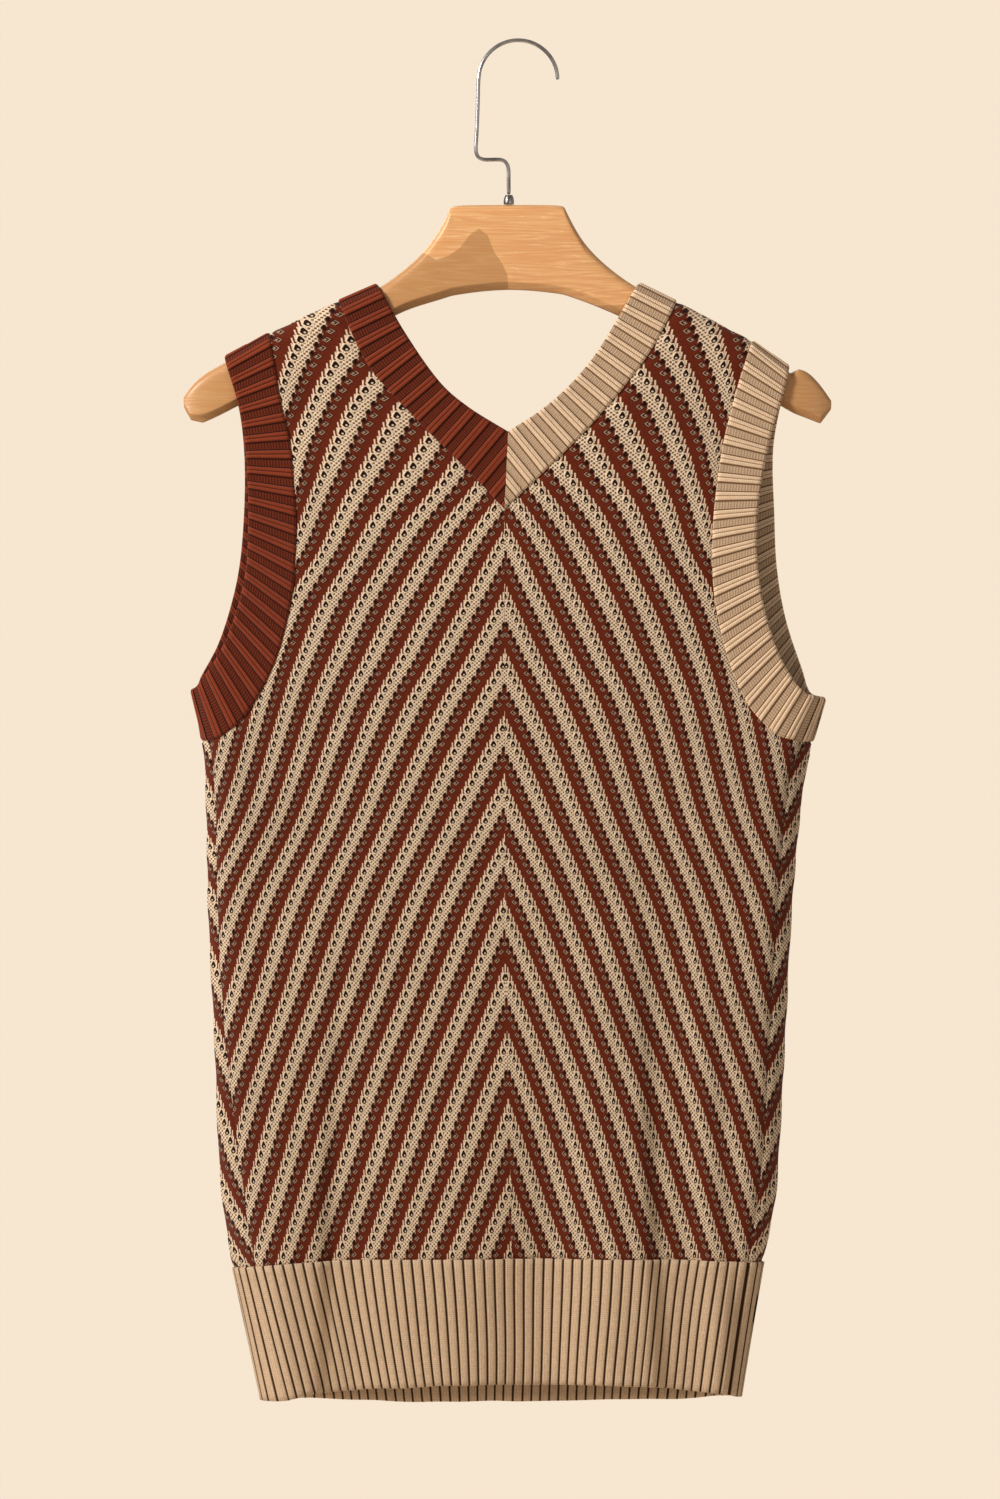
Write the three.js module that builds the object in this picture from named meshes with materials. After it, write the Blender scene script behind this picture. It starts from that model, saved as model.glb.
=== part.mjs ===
import * as THREE from 'three';

// A knitted V-neck vest hanging on a wooden hanger, in millimetres. +Z is up and the front of
// the vest faces -Y. While the pieces are made, x is measured from the hanger's shank and z
// from the inside top of the hook. At the end everything shifts by SHANK_X, so that the inside
// top of the hook is the origin. Left and right are as seen from the front.

// Cloth
const CLOTH = 2.0;
const SEAM_GAP = 0.3;
// outer radius of the cloth where it lies over the hanger's arms
const SHOULDER_ROUND = 10.5;
// distance from a side fold within which the cloth turns round to the other side
const SIDE_ROUND = 25;

// half depth of the hanging cloth, front and back, at some heights
const DEPTH = [
  { z: -150, front: 10.5, back: 10.5 },
  { z: -215, front: 11.5, back: 11.2 },
  { z: -300, front: 14.0, back: 12.5 },
  { z: -440, front: 17.5, back: 14.5 },
  { z: -640, front: 19.0, back: 15.5 },
  { z: -800, front: 20.0, back: 16.5 },
  { z: -890, front: 20.5, back: 17.0 },
];

// soft upright folds: where each meets the hem line, how far it leans per mm of height,
// its width, how far it stands out, and the heights between which it grows
const FOLDS = [
  { side: 'front', x: -143, lean: 0.02, width: 22, rise: 3.4, top: -520, full: -850 },
  { side: 'front', x: -104, lean: 0.02, width: 16, rise: -2.2, top: -560, full: -860 },
  { side: 'front', x: -22, lean: 0.01, width: 26, rise: 2.4, top: -600, full: -860 },
  { side: 'front', x: 28, lean: -0.01, width: 16, rise: -2.2, top: -620, full: -850 },
  { side: 'front', x: 70, lean: -0.03, width: 22, rise: 3.0, top: -430, full: -840 },
  { side: 'front', x: 112, lean: -0.03, width: 15, rise: -2.6, top: -460, full: -850 },
  { side: 'back', x: -96, lean: 0.03, width: 24, rise: 3.0, top: -470, full: -850 },
  { side: 'back', x: -40, lean: 0.01, width: 20, rise: -2.2, top: -560, full: -860 },
  { side: 'back', x: 30, lean: 0.00, width: 28, rise: 2.6, top: -600, full: -840 },
  { side: 'back', x: 98, lean: -0.03, width: 20, rise: -2.4, top: -500, full: -850 },
];

// the shoulder line, along the top of the cloth
const SHOULDER = [
  { x: -184.9, z: -205.4 },
  { x: -155.7, z: -189.8 },
  { x: -110.8, z: -169.0 },
  { x: -85.5, z: -158.0 },
  { x: 84.8, z: -157.3 },
  { x: 109.5, z: -169.3 },
  { x: 158.6, z: -195.0 },
  { x: 183.0, z: -211.9 },
];

// side folds, side seams and centre line of the body at some heights
const BODY = [
  { z: -422.0, leftFold: -207.0, leftSeam: -203.0, centre: -2.4, rightSeam: 203.0, rightFold: 208.0 },
  { z: -456.3, leftFold: -199.6, leftSeam: -195.3, centre: -2.3, rightSeam: 190.4, rightFold: 197.8 },
  { z: -487.5, leftFold: -197.3, leftSeam: -191.4, centre: -2.3, rightSeam: 181.7, rightFold: 191.8 },
  { z: -565.5, leftFold: -195.7, leftSeam: -189.5, centre: -2.3, rightSeam: 175.2, rightFold: 185.2 },
  { z: -643.5, leftFold: -192.1, leftSeam: -184.9, centre: -1.0, rightSeam: 170.0, rightFold: 180.4 },
  { z: -721.5, leftFold: -189.2, leftSeam: -175.8, centre: 1.0, rightSeam: 165.4, rightFold: 176.5 },
  { z: -754.0, leftFold: -186.6, leftSeam: -171.3, centre: 1.6, rightSeam: 162.2, rightFold: 173.9 },
  { z: -790.0, leftFold: -181.0, leftSeam: -165.6, centre: 2.0, rightSeam: 156.4, rightFold: 166.8 },
  { z: -825.5, leftFold: -172.9, leftSeam: -157.0, centre: 2.0, rightSeam: 152.8, rightFold: 159.6 },
  { z: -851.5, leftFold: -167.7, leftSeam: -149.0, centre: 2.0, rightSeam: 149.4, rightFold: 155.7 },
  { z: -885.0, leftFold: -160.6, leftSeam: -141.0, centre: 2.0, rightSeam: 141.5, rightFold: 150.3 },
];

// neck: the seam that joins band and panel, from the shoulder line to the V
const NECK_SEAM = {
  left: [
    { x: -110.8, z: -169.0 },
    { x: -91.3, z: -210.6 },
    { x: -60.1, z: -246.0 },
    { x: -25.0, z: -281.0 },
    { x: -2.6, z: -304.5 },
  ],
  right: [
    { x: 109.5, z: -169.3 },
    { x: 92.0, z: -202.2 },
    { x: 54.9, z: -248.3 },
    { x: 22.4, z: -280.8 },
    { x: -2.6, z: -304.5 },
  ],
};

// neck: the free edge of the band, from the shoulder line to the V
const NECK_EDGE = {
  left: [
    { x: -85.5, z: -158.0 },
    { x: -67.3, z: -190.5 },
    { x: -43.2, z: -224.2 },
    { x: -26.3, z: -238.6 },
    { x: -0.3, z: -254.8 },
  ],
  right: [
    { x: 84.8, z: -157.3 },
    { x: 58.2, z: -202.2 },
    { x: 41.3, z: -223.0 },
    { x: 22.4, z: -239.8 },
    { x: -0.3, z: -254.8 },
  ],
};

// armholes: a row for each station, from the shoulder line down to the side seam. The back
// band lies further out than the front one by `backOut`.
const ARMHOLE = {
  left: [
    { seamX: -155.7, seamZ: -189.8, edgeX: -184.9, edgeZ: -205.4, backOut: 0.0 },
    { seamX: -149.5, seamZ: -228.0, edgeX: -175.8, edgeZ: -235.0, backOut: -0.6 },
    { seamX: -141.7, seamZ: -264.6, edgeX: -170.6, edgeZ: -266.5, backOut: -1.8 },
    { seamX: -138.1, seamZ: -316.9, edgeX: -168.7, edgeZ: -313.3, backOut: -4.2 },
    { seamX: -140.7, seamZ: -360.4, edgeX: -171.3, edgeZ: -351.0, backOut: -6.0 },
    { seamX: -152.1, seamZ: -405.6, edgeX: -183.6, edgeZ: -390.7, backOut: -5.4 },
    { seamX: -173.2, seamZ: -441.4, edgeX: -197.9, edgeZ: -413.4, backOut: -3.0 },
    { seamX: -186.9, seamZ: -452.1, edgeX: -202.6, edgeZ: -419.6, backOut: -1.0 },
  ],
  right: [
    { seamX: 158.6, seamZ: -195.0, edgeX: 183.0, edgeZ: -211.9, backOut: 0.0 },
    { seamX: 149.8, seamZ: -223.0, edgeX: 178.0, edgeZ: -231.0, backOut: 0.6 },
    { seamX: 139.6, seamZ: -263.0, edgeX: 168.8, edgeZ: -263.5, backOut: 4.0 },
    { seamX: 133.2, seamZ: -313.3, edgeX: 161.5, edgeZ: -307.4, backOut: 12.0 },
    { seamX: 133.2, seamZ: -354.9, edgeX: 161.8, edgeZ: -343.2, backOut: 13.5 },
    { seamX: 140.7, seamZ: -395.2, edgeX: 167.7, edgeZ: -376.4, backOut: 13.5 },
    { seamX: 155.7, seamZ: -431.6, edgeX: 179.6, edgeZ: -407.6, backOut: 12.0 },
    { seamX: 175.0, seamZ: -451.5, edgeX: 193.0, edgeZ: -424.5, backOut: 5.0 },
  ],
};

// where the armband meets the top of the side seam and the side fold
const UNDERARM = {
  left: { seamX: -195.3, seamZ: -455.0, edgeX: -205.0, edgeZ: -422.0, foldZ: -421.6 },
  right: { seamX: 190.4, seamZ: -455.8, edgeX: 202.6, edgeZ: -427.0, foldZ: -427.4 },
};

// the welt: height of its seam and of its lower edges, with the drop towards each side
const WELT = {
  seamZ: -791.8,
  seamDrop: { left: 5.4, right: 3.2 },
  frontZ: -872.6,
  frontDrop: { left: 12.2, right: 8.4 },
  backZ: -887.5,
  backDrop: { left: -3.0, right: -6.4 },
  cornerZ: { left: -882.0, right: -879.0 },
};

// ribs: spacing along the edge, how far they stand out, and the share that each groove takes
const WELT_RIB = { pitch: 6.6, rise: 1.1, ramp: 0.2 };
const BAND_RIB = { rise: 0.9, groove: 0.42, ramp: 0.09, perSpan: 2 };
const NECK_SPANS = 7;
const ARM_SPANS = 12;
const LOWER_SPANS = 11;
const HALF_COLUMNS = 9;
// height on the centre line of the row that starts at the armholes' lower corners
const CENTRE_AT_CORNER = -470;
// short steps where the cloth turns over the shoulder and leaves the side fold
const SHOULDER_STEPS = [2.2, 8.0];
const CORNER_STEPS = [4.0, 10.0];
// a column of a strip is left out nearer than this to another
const NEAR = 0.35;
// distances from the side fold, or from the armhole seam, of the back's outermost columns
const TAIL = { low: [7, 1.6, 0], fold: [11, 5, 1.4, 0], high: [20, 13, 6, 0] };
// how far the back's topmost row below the armhole dips where it crosses the side fold
const FOLD_DIP = 2.5;
// above this height the side folds run straight up, past the armholes' edges
const FOLD_TOP = -424;
// how much later than its width a panel's row drops towards the side
const ROW_BEND = 1.15;
// share of `backOut` by which the back's armhole seam moves out
const SEAM_OUT = 0.6;
// half widths of the body at the welt's seam and foot, by which their drops grow
const SEAM_REACH = 170;
const FOOT_REACH = 156;
// the sharpest corner of a rim that is drawn in along its mitre
const MITRE_LEAST = 0.35;

// Hanger
const WOOD_HALF = 7.5;
const WOOD_BEVEL = 4.5;
// outline of the wood from left to right: top, foot, and how far its half thickness is
// thinned at the rounded ends
const WOOD = [
  { x: -211.6, top: -231.4, foot: -237.9, thin: 4.2 },
  { x: -207.0, top: -224.2, foot: -246.3, thin: 1.6 },
  { x: -199.2, top: -216.5, foot: -248.0, thin: 0.4 },
  { x: -186.2, top: -209.4, foot: -242.5, thin: 0 },
  { x: -155.7, top: -193.3, foot: -225.6, thin: 0 },
  { x: -111.5, top: -172.6, foot: -199.9, thin: 0 },
  { x: -86.1, top: -161.6, foot: -185.2, thin: 0 },
  { x: -73.8, top: -152.9, foot: -177.8, thin: 0 },
  { x: -64.0, top: -145.2, foot: -173.6, thin: 0 },
  { x: -54.0, top: -135.6, foot: -170.4, thin: 0 },
  { x: -45.5, top: -123.6, foot: -168.0, thin: 0 },
  { x: -40.6, top: -114.4, foot: -166.4, thin: 0 },
  { x: -38.2, top: -108.0, foot: -165.6, thin: 0 },
  { x: -34.6, top: -106.0, foot: -164.6, thin: 0 },
  { x: -0.3, top: -106.0, foot: -159.9, thin: 0 },
  { x: 33.0, top: -106.0, foot: -163.8, thin: 0 },
  { x: 36.4, top: -107.4, foot: -164.5, thin: 0 },
  { x: 41.9, top: -119.0, foot: -166.4, thin: 0 },
  { x: 50.4, top: -133.2, foot: -169.3, thin: 0 },
  { x: 64.0, top: -146.2, foot: -174.8, thin: 0 },
  { x: 75.7, top: -154.9, foot: -180.1, thin: 0 },
  { x: 85.5, top: -161.2, foot: -184.6, thin: 0 },
  { x: 109.5, top: -172.9, foot: -195.7, thin: 0 },
  { x: 158.3, top: -198.5, foot: -224.9, thin: 0 },
  { x: 183.6, top: -215.8, foot: -240.9, thin: 0 },
  { x: 189.0, top: -213.0, foot: -243.0, thin: 0 },
  { x: 195.2, top: -214.6, foot: -245.3, thin: 0.4 },
  { x: 203.4, top: -223.2, foot: -248.6, thin: 1.4 },
  { x: 210.3, top: -233.6, foot: -239.4, thin: 4.2 },
];
const WIRE_RADIUS = 1.4;
const WIRE_STEPS = 54;
const HOOK_RADIUS = 25.8;
const HOOK_CENTRE = { x: 6.3, z: -24.4 };
const SHANK = { x: 0.2, foot: -99.2, crank: -76.5, crankX: -21.2, upperX: -19.5 };
const CRANK_ROUND = 5;
const FERRULE = { radius: 3.6, neck: 2.6, collar: 3.2, top: -99.6, foot: -105.7 };
const SHANK_X = -HOOK_CENTRE.x;

// Reading tables

// smooth reading of one column of a table, by another column that rises or falls steadily
function read(table, key, by, at) {
  const rows = table[0][by] < table[table.length - 1][by] ? table : [...table].reverse();
  const last = rows.length - 1;
  const slope = (i) => {
    const a = rows[Math.max(0, i - 1)];
    const b = rows[Math.min(last, i + 1)];
    return (b[key] - a[key]) / (b[by] - a[by]);
  };
  if (at <= rows[0][by]) return rows[0][key] + slope(0) * (at - rows[0][by]);
  if (at >= rows[last][by]) return rows[last][key] + slope(last) * (at - rows[last][by]);
  let i = 0;
  while (rows[i + 1][by] < at) i += 1;
  const span = rows[i + 1][by] - rows[i][by];
  const t = (at - rows[i][by]) / span;
  const h1 = t * t * (3 - 2 * t);
  const m0 = t * (1 - t) * (1 - t) * slope(i) * span;
  const m1 = t * t * (t - 1) * slope(i + 1) * span;
  return rows[i][key] * (1 - h1) + rows[i + 1][key] * h1 + m0 + m1;
}

// height of the shoulder line, straight between its rows and running on past them
function shoulderZ(x) {
  const rows = x < 0 ? SHOULDER.slice(0, 4) : SHOULDER.slice(4);
  let i = 0;
  while (i < rows.length - 2 && rows[i + 1].x < x) i += 1;
  const a = rows[i];
  const b = rows[i + 1];
  return a.z + ((b.z - a.z) * (x - a.x)) / (b.x - a.x);
}

const smooth = (t) => {
  const c = Math.min(1, Math.max(0, t));
  return c * c * (3 - 2 * c);
};

// share of the full squared depth at a distance from a fold
const turn = (d) => (d >= 1 ? 1 : d * (2 - d));

// squared half depth of the cloth's outer face at a place seen from the front
function depthSquared(side, x, z) {
  let half = read(DEPTH, side, 'z', z);
  for (const f of FOLDS) {
    if (f.side === side) {
      const centre = f.x + f.lean * (z + 792);
      const grown = smooth((f.top - z) / (f.top - f.full));
      half += f.rise * grown * Math.exp(-(((x - centre) / f.width) ** 2));
    }
  }
  const level = Math.min(z, FOLD_TOP);
  const inLeft = x - read(BODY, 'leftFold', 'z', level);
  const inRight = read(BODY, 'rightFold', 'z', level) - x;
  const below = turn((shoulderZ(x) - z) / SHOULDER_ROUND);
  const across = turn(Math.min(inLeft, inRight) / SIDE_ROUND);
  return half * half * below * across;
}

// a point of the cloth's outer face with its outward direction
function clothPoint(side, x, z) {
  const sign = side === 'front' ? -1 : 1;
  const y = sign * Math.sqrt(Math.max(0, depthSquared(side, x, z)));
  const e = 0.4;
  const dx = (depthSquared(side, x + e, z) - depthSquared(side, x - e, z)) / (2 * e);
  const dz = (depthSquared(side, x, z + e) - depthSquared(side, x, z - e)) / (2 * e);
  const normal = new THREE.Vector3(-dx, 2 * y, -dz).normalize();
  return { point: new THREE.Vector3(x, y, z), normal };
}

// Places and curves, seen from the front

// a place is { side, x, z }: the sheet of cloth it lies on, and where it is seen
const foldX = (hand, z) => read(BODY, `${hand}Fold`, 'z', Math.min(z, FOLD_TOP));

const lift = (place) => clothPoint(place.side, place.x, place.z);

const curveThrough = (rows) => {
  const points = rows.map((r) => new THREE.Vector3(r.x, 0, r.z));
  const curve = new THREE.CatmullRomCurve3(points, false, 'centripetal');
  curve.arcLengthDivisions = 400;
  return curve;
};

// places on a curve at given shares of its length; the last one lies on the shoulder line
function placesOn(curve, shares, side) {
  return shares.map((share) => {
    const p = curve.getPointAt(share);
    const z = share === 1 ? shoulderZ(p.x) : p.z;
    return { side, x: p.x, z };
  });
}

// shares of a length for equal spans, with short steps put in at its start and its end
function spanShares(length, spans, startSteps, endSteps) {
  const shares = [];
  for (let i = 0; i <= spans; i += 1) shares.push(i / spans);
  for (const step of startSteps) shares.push(step / length);
  for (const step of endSteps) shares.push(1 - step / length);
  return shares.sort((a, b) => a - b);
}

// One armhole of one side of the vest, from underneath up to the shoulder line: the places of
// its seam and, beside them, of the band's free edge. The back's turns round the side fold.
function armholePlaces(hand, side) {
  const back = side === 'back';
  const under = UNDERARM[hand];
  const out = (row, share) => (back ? share * row.backOut : 0);
  const seam = ARMHOLE[hand].map((r) => ({ x: r.seamX + out(r, SEAM_OUT), z: r.seamZ })).reverse();
  const edge = ARMHOLE[hand].map((r) => ({ x: r.edgeX + out(r, 1), z: r.edgeZ })).reverse();
  const seamCorner = { side: 'front', x: under.seamX, z: under.seamZ };
  const edgeCorner = { side: 'front', x: under.edgeX, z: under.edgeZ };
  if (back) {
    seam.unshift({ x: foldX(hand, under.seamZ), z: under.seamZ });
    edge.unshift({ x: foldX(hand, under.foldZ), z: under.foldZ });
  } else {
    seam.unshift(seamCorner);
    edge.unshift(edgeCorner);
  }
  const seamCurve = curveThrough(seam);
  const shares = spanShares(seamCurve.getLength(), ARM_SPANS, CORNER_STEPS, SHOULDER_STEPS);
  const seamPlaces = placesOn(seamCurve, shares, side);
  const edgePlaces = placesOn(curveThrough(edge), shares, side);
  if (back) {
    seamPlaces.unshift(seamCorner);
    edgePlaces.unshift(edgeCorner);
  }
  return { seam: seamPlaces, edge: edgePlaces };
}

// one side of the neck, from the V up to the shoulder line
function neckPlaces(hand, side) {
  const seamCurve = curveThrough([...NECK_SEAM[hand]].reverse());
  const edgeCurve = curveThrough([...NECK_EDGE[hand]].reverse());
  const shares = spanShares(seamCurve.getLength(), NECK_SPANS, [], SHOULDER_STEPS);
  return { seam: placesOn(seamCurve, shares, side), edge: placesOn(edgeCurve, shares, side) };
}

// height of the seam between the body and the welt, and of the welt's lower edge
const seamHeight = (x) => WELT.seamZ - WELT.seamDrop[x < 0 ? 'left' : 'right'] * (x / SEAM_REACH) ** 4;

const footHeight = (side, x) => {
  const drop = WELT[`${side}Drop`][x < 0 ? 'left' : 'right'];
  return WELT[`${side}Z`] - drop * Math.abs(x / FOOT_REACH) ** 3;
};

// Body panels

// Half of a row of a panel, from its inner to its outer place. On the back, rows below the
// armhole turn round the side fold and end on the front sheet.
function halfRow(side, hand, inner, outer, tail) {
  const outward = hand === 'left' ? -1 : 1;
  const turned = outer.side !== side;
  const endX = turned ? foldX(hand, outer.z) : outer.x;
  const last = endX - outward * (tail.length > 0 ? tail[0] : 0);
  const places = [];
  for (let c = 0; c <= HALF_COLUMNS; c += 1) {
    const t = c / HALF_COLUMNS;
    const x = inner.x + (last - inner.x) * t;
    const share = (x - inner.x) / (endX - inner.x);
    places.push({ side, x, z: inner.z + (outer.z - inner.z) * share ** ROW_BEND });
  }
  for (const back of tail.slice(1)) {
    const x = endX - outward * back;
    const share = (x - inner.x) / (endX - inner.x);
    places.push({ side, x, z: inner.z + (outer.z - inner.z) * share ** ROW_BEND });
  }
  if (turned) {
    places[places.length - 1].z -= FOLD_DIP;
    places.push(outer);
  }
  return places;
}

// a panel as a sheet of cloth, with the rows of points along its seams
function panelSheet(side) {
  const cells = [];
  const faces = [];
  const seams = { welt: [], arm: {}, neck: {} };
  const centre = [];
  for (const hand of ['left', 'right']) {
    const arm = armholePlaces(hand, side).seam;
    const neck = neckPlaces(hand, side).seam;
    const lower = [];
    const footX = read(BODY, `${hand}Seam`, 'z', seamHeight(160));
    const footZ = seamHeight(footX);
    for (let i = 0; i < LOWER_SPANS; i += 1) {
      const z = footZ + ((UNDERARM[hand].seamZ - footZ) * i) / LOWER_SPANS;
      lower.push({ side: 'front', x: read(BODY, `${hand}Seam`, 'z', z), z });
    }
    const outer = [...lower, ...arm];
    const tipRow = outer.length - neck.length;
    const inner = [];
    const reach = [0];
    for (let i = 1; i < arm.length; i += 1) {
      reach.push(reach[i - 1] + Math.hypot(arm[i].x - arm[i - 1].x, arm[i].z - arm[i - 1].z));
    }
    for (let i = 0; i < tipRow; i += 1) {
      const low = seamHeight(0);
      let z = low + ((CENTRE_AT_CORNER - low) * i) / LOWER_SPANS;
      if (i > LOWER_SPANS) {
        const share = reach[i - LOWER_SPANS] / reach[tipRow - LOWER_SPANS];
        z = CENTRE_AT_CORNER + (neck[0].z - CENTRE_AT_CORNER) * share;
      }
      inner.push({ side, x: read(BODY, 'centre', 'z', z), z });
    }
    inner.push(...neck);
    const grid = outer.map((place, i) => {
      let tail = [];
      if (side === 'back') {
        if (i <= LOWER_SPANS) tail = TAIL.low;
        else tail = i === LOWER_SPANS + 1 ? TAIL.fold : TAIL.high;
      }
      const places = halfRow(side, hand, inner[i], place, tail);
      if (i === 0) {
        places.forEach((p) => {
          p.z = seamHeight(p.x);
        });
      }
      if (i === outer.length - 1) {
        places.forEach((p) => {
          p.z = shoulderZ(p.x);
        });
      }
      return places.map((p, c) => {
        if (c === 0 && i <= tipRow && hand === 'right') return centre[i];
        cells.push(lift(p));
        if (c === 0) centre.push(cells.length - 1);
        return cells.length - 1;
      });
    });
    for (let i = 0; i < grid.length - 1; i += 1) {
      for (let c = 0; c < grid[i].length - 1; c += 1) {
        faces.push([grid[i][c], grid[i][c + 1], grid[i + 1][c + 1], grid[i + 1][c]]);
      }
    }
    if (hand === 'left') faces.forEach((f) => f.reverse());
    seams.arm[hand] = grid.slice(LOWER_SPANS).map((row) => cells[row[row.length - 1]]);
    seams.neck[hand] = grid.slice(tipRow).map((row) => cells[row[0]]);
    const foot = grid[0].map((k) => cells[k]);
    if (hand === 'left') seams.welt.push(...foot.reverse());
    else seams.welt.push(...foot.slice(1));
  }
  return { cells, faces, seams };
}

// Ribbed strips

// columns of one rib, as shares of its width, with how much of the rise each one has
const GROOVED = [
  { at: 0, up: 0 },
  { at: WELT_RIB.ramp, up: 1 },
  { at: 1 - WELT_RIB.ramp, up: 1 },
];
const BANDED = [
  { at: 0, up: 0 },
  { at: BAND_RIB.groove, up: 0 },
  { at: BAND_RIB.groove + BAND_RIB.ramp, up: 1 },
  { at: 1 - BAND_RIB.ramp, up: 1 },
];

// A strip between a seam and a free edge, both rows of cloth points that match one to one.
// The ribs cross the strip, evenly along the seam.
function ribbedStrip(seam, edge, ribs, profile, rise) {
  const reach = [0];
  for (let i = 1; i < seam.length; i += 1) {
    reach.push(reach[i - 1] + seam[i].point.distanceTo(seam[i - 1].point));
  }
  const length = reach[reach.length - 1];
  const columns = [];
  for (let r = 0; r < ribs; r += 1) {
    for (const step of profile) columns.push({ want: ((r + step.at) / ribs) * length, up: step.up });
  }
  columns.push({ want: length, up: 0 });
  // a column at each point of the seam too, so that both sides of the seam bend alike
  for (const want of reach) {
    const after = columns.findIndex((column) => column.want > want);
    if (after > 0 && Math.min(want - columns[after - 1].want, columns[after].want - want) > NEAR) {
      const [p, q] = [columns[after - 1], columns[after]];
      const up = p.up + ((q.up - p.up) * (want - p.want)) / (q.want - p.want);
      columns.splice(after, 0, { want, up });
    }
  }
  const cells = [];
  const faces = [];
  columns.forEach((column, c) => {
    let i = 0;
    while (i < seam.length - 2 && reach[i + 1] < column.want) i += 1;
    const t = (column.want - reach[i]) / (reach[i + 1] - reach[i]);
    for (const row of [seam, edge]) {
      const point = row[i].point.clone().lerp(row[i + 1].point, t);
      const normal = row[i].normal.clone().lerp(row[i + 1].normal, t).normalize();
      cells.push({ point, normal, raised: rise * column.up });
    }
    if (c > 0) faces.push([2 * c - 2, 2 * c, 2 * c + 1, 2 * c - 1]);
  });
  return { cells, faces };
}

// The welt's lower edge, a place for each point of its seam. Both welts end on the side seam
// at the same two places. The back one turns round the side folds on the way.
function weltFoot(side, seam) {
  const last = seam.length - 1;
  return seam.map((cell, i) => {
    const hand = cell.point.x < 0 ? 'left' : 'right';
    const ends = i === 0 || i === last;
    if (ends) {
      const x = read(BODY, `${hand}Seam`, 'z', WELT.cornerZ[hand]);
      return { side: 'front', x, z: WELT.cornerZ[hand] };
    }
    const bound = side === 'back' ? `${hand}Fold` : `${hand}Seam`;
    const low = read(BODY, bound, 'z', WELT.cornerZ[hand]);
    const high = read(BODY, bound, 'z', cell.point.z);
    const x = (cell.point.x * low) / high;
    const z = footHeight(side, x);
    const limit = read(BODY, `${hand}Fold`, 'z', z);
    return { side, x: Math.sign(limit) * Math.min(Math.abs(x), Math.abs(limit)), z };
  });
}

// Closed solids

// A sheet of cloth becomes a closed wall. It is drawn in all round by half a seam's gap.
function wall(sheet) {
  const { cells } = sheet;
  const corner = (k) => cells[k].point;
  const [a, b, c] = sheet.faces[Math.floor(sheet.faces.length / 2)].map(corner);
  const facing = b.clone().sub(a).cross(c.clone().sub(a));
  const middle = cells[sheet.faces[Math.floor(sheet.faces.length / 2)][0]].normal;
  const faces = facing.dot(middle) > 0 ? sheet.faces : sheet.faces.map((f) => [...f].reverse());
  const used = new Map();
  for (const face of faces) {
    face.forEach((from, i) => used.set(`${from}>${face[(i + 1) % 4]}`, true));
  }
  const rim = [];
  for (const key of used.keys()) {
    const [from, to] = key.split('>').map(Number);
    if (!used.has(`${to}>${from}`)) rim.push([from, to]);
  }
  const inward = new Map();
  for (const [from, to] of rim) {
    for (const k of [from, to]) {
      const along = corner(to).clone().sub(corner(from));
      const direction = cells[k].normal.clone().cross(along).normalize();
      inward.set(k, [...(inward.get(k) ?? []), direction]);
    }
  }
  const shift = (k) => {
    const sides = inward.get(k);
    if (!sides) return new THREE.Vector3();
    const [p, q] = sides;
    return p.clone().add(q).multiplyScalar(SEAM_GAP / 2 / Math.max(MITRE_LEAST, 1 + p.dot(q)));
  };
  const positions = [];
  const moved = cells.map((cell, k) => cell.point.clone().add(shift(k)));
  cells.forEach((cell, k) => {
    positions.push(...moved[k].clone().addScaledVector(cell.normal, cell.raised ?? 0).toArray());
  });
  cells.forEach((cell, k) => {
    positions.push(...moved[k].clone().addScaledVector(cell.normal, -CLOTH).toArray());
  });
  const index = [];
  const n = cells.length;
  for (const [p, q, r, s] of faces) {
    index.push(p, q, r, p, r, s);
    index.push(n + p, n + r, n + q, n + p, n + s, n + r);
  }
  for (const [from, to] of rim) index.push(to, from, n + from, to, n + from, n + to);
  return solid(positions, index);
}

function solid(positions, index) {
  const geometry = new THREE.BufferGeometry();
  geometry.setAttribute('position', new THREE.Float32BufferAttribute(positions, 3));
  geometry.setIndex(index);
  geometry.computeVertexNormals();
  return geometry;
}

// rings of points, one after another along x, joined and closed at both ends
function loft(rings) {
  const sides = rings[0].length;
  const positions = rings.flat().flatMap((p) => p.toArray());
  const index = [];
  for (let r = 0; r < rings.length - 1; r += 1) {
    for (let i = 0; i < sides; i += 1) {
      const a = r * sides + i;
      const b = r * sides + ((i + 1) % sides);
      index.push(a, a + sides, b, b, a + sides, b + sides);
    }
  }
  const end = (rings.length - 1) * sides;
  for (let i = 1; i < sides - 1; i += 1) {
    index.push(0, i, i + 1);
    index.push(end, end + i + 1, end + i);
  }
  return solid(positions, index);
}

// section of the wood across its length: round on top, bevelled at the foot
function woodRing(row) {
  const half = WOOD_HALF - row.thin;
  const height = row.top - row.foot;
  const round = Math.min(0.93 * half, 0.45 * height);
  const bevel = Math.min(WOOD_BEVEL, 0.28 * height, 0.6 * half);
  const right = [];
  for (const turned of [0, 30, 60, 90]) {
    const a = THREE.MathUtils.degToRad(turned);
    right.push([half - round + round * Math.sin(a), row.top - round + round * Math.cos(a)]);
  }
  right.push([half, row.foot + bevel]);
  right.push([half - bevel, row.foot]);
  const left = [...right].reverse().map(([y, z]) => [-y, z]);
  return [...right, ...left].map(([y, z]) => new THREE.Vector3(row.x, y, z));
}

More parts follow.
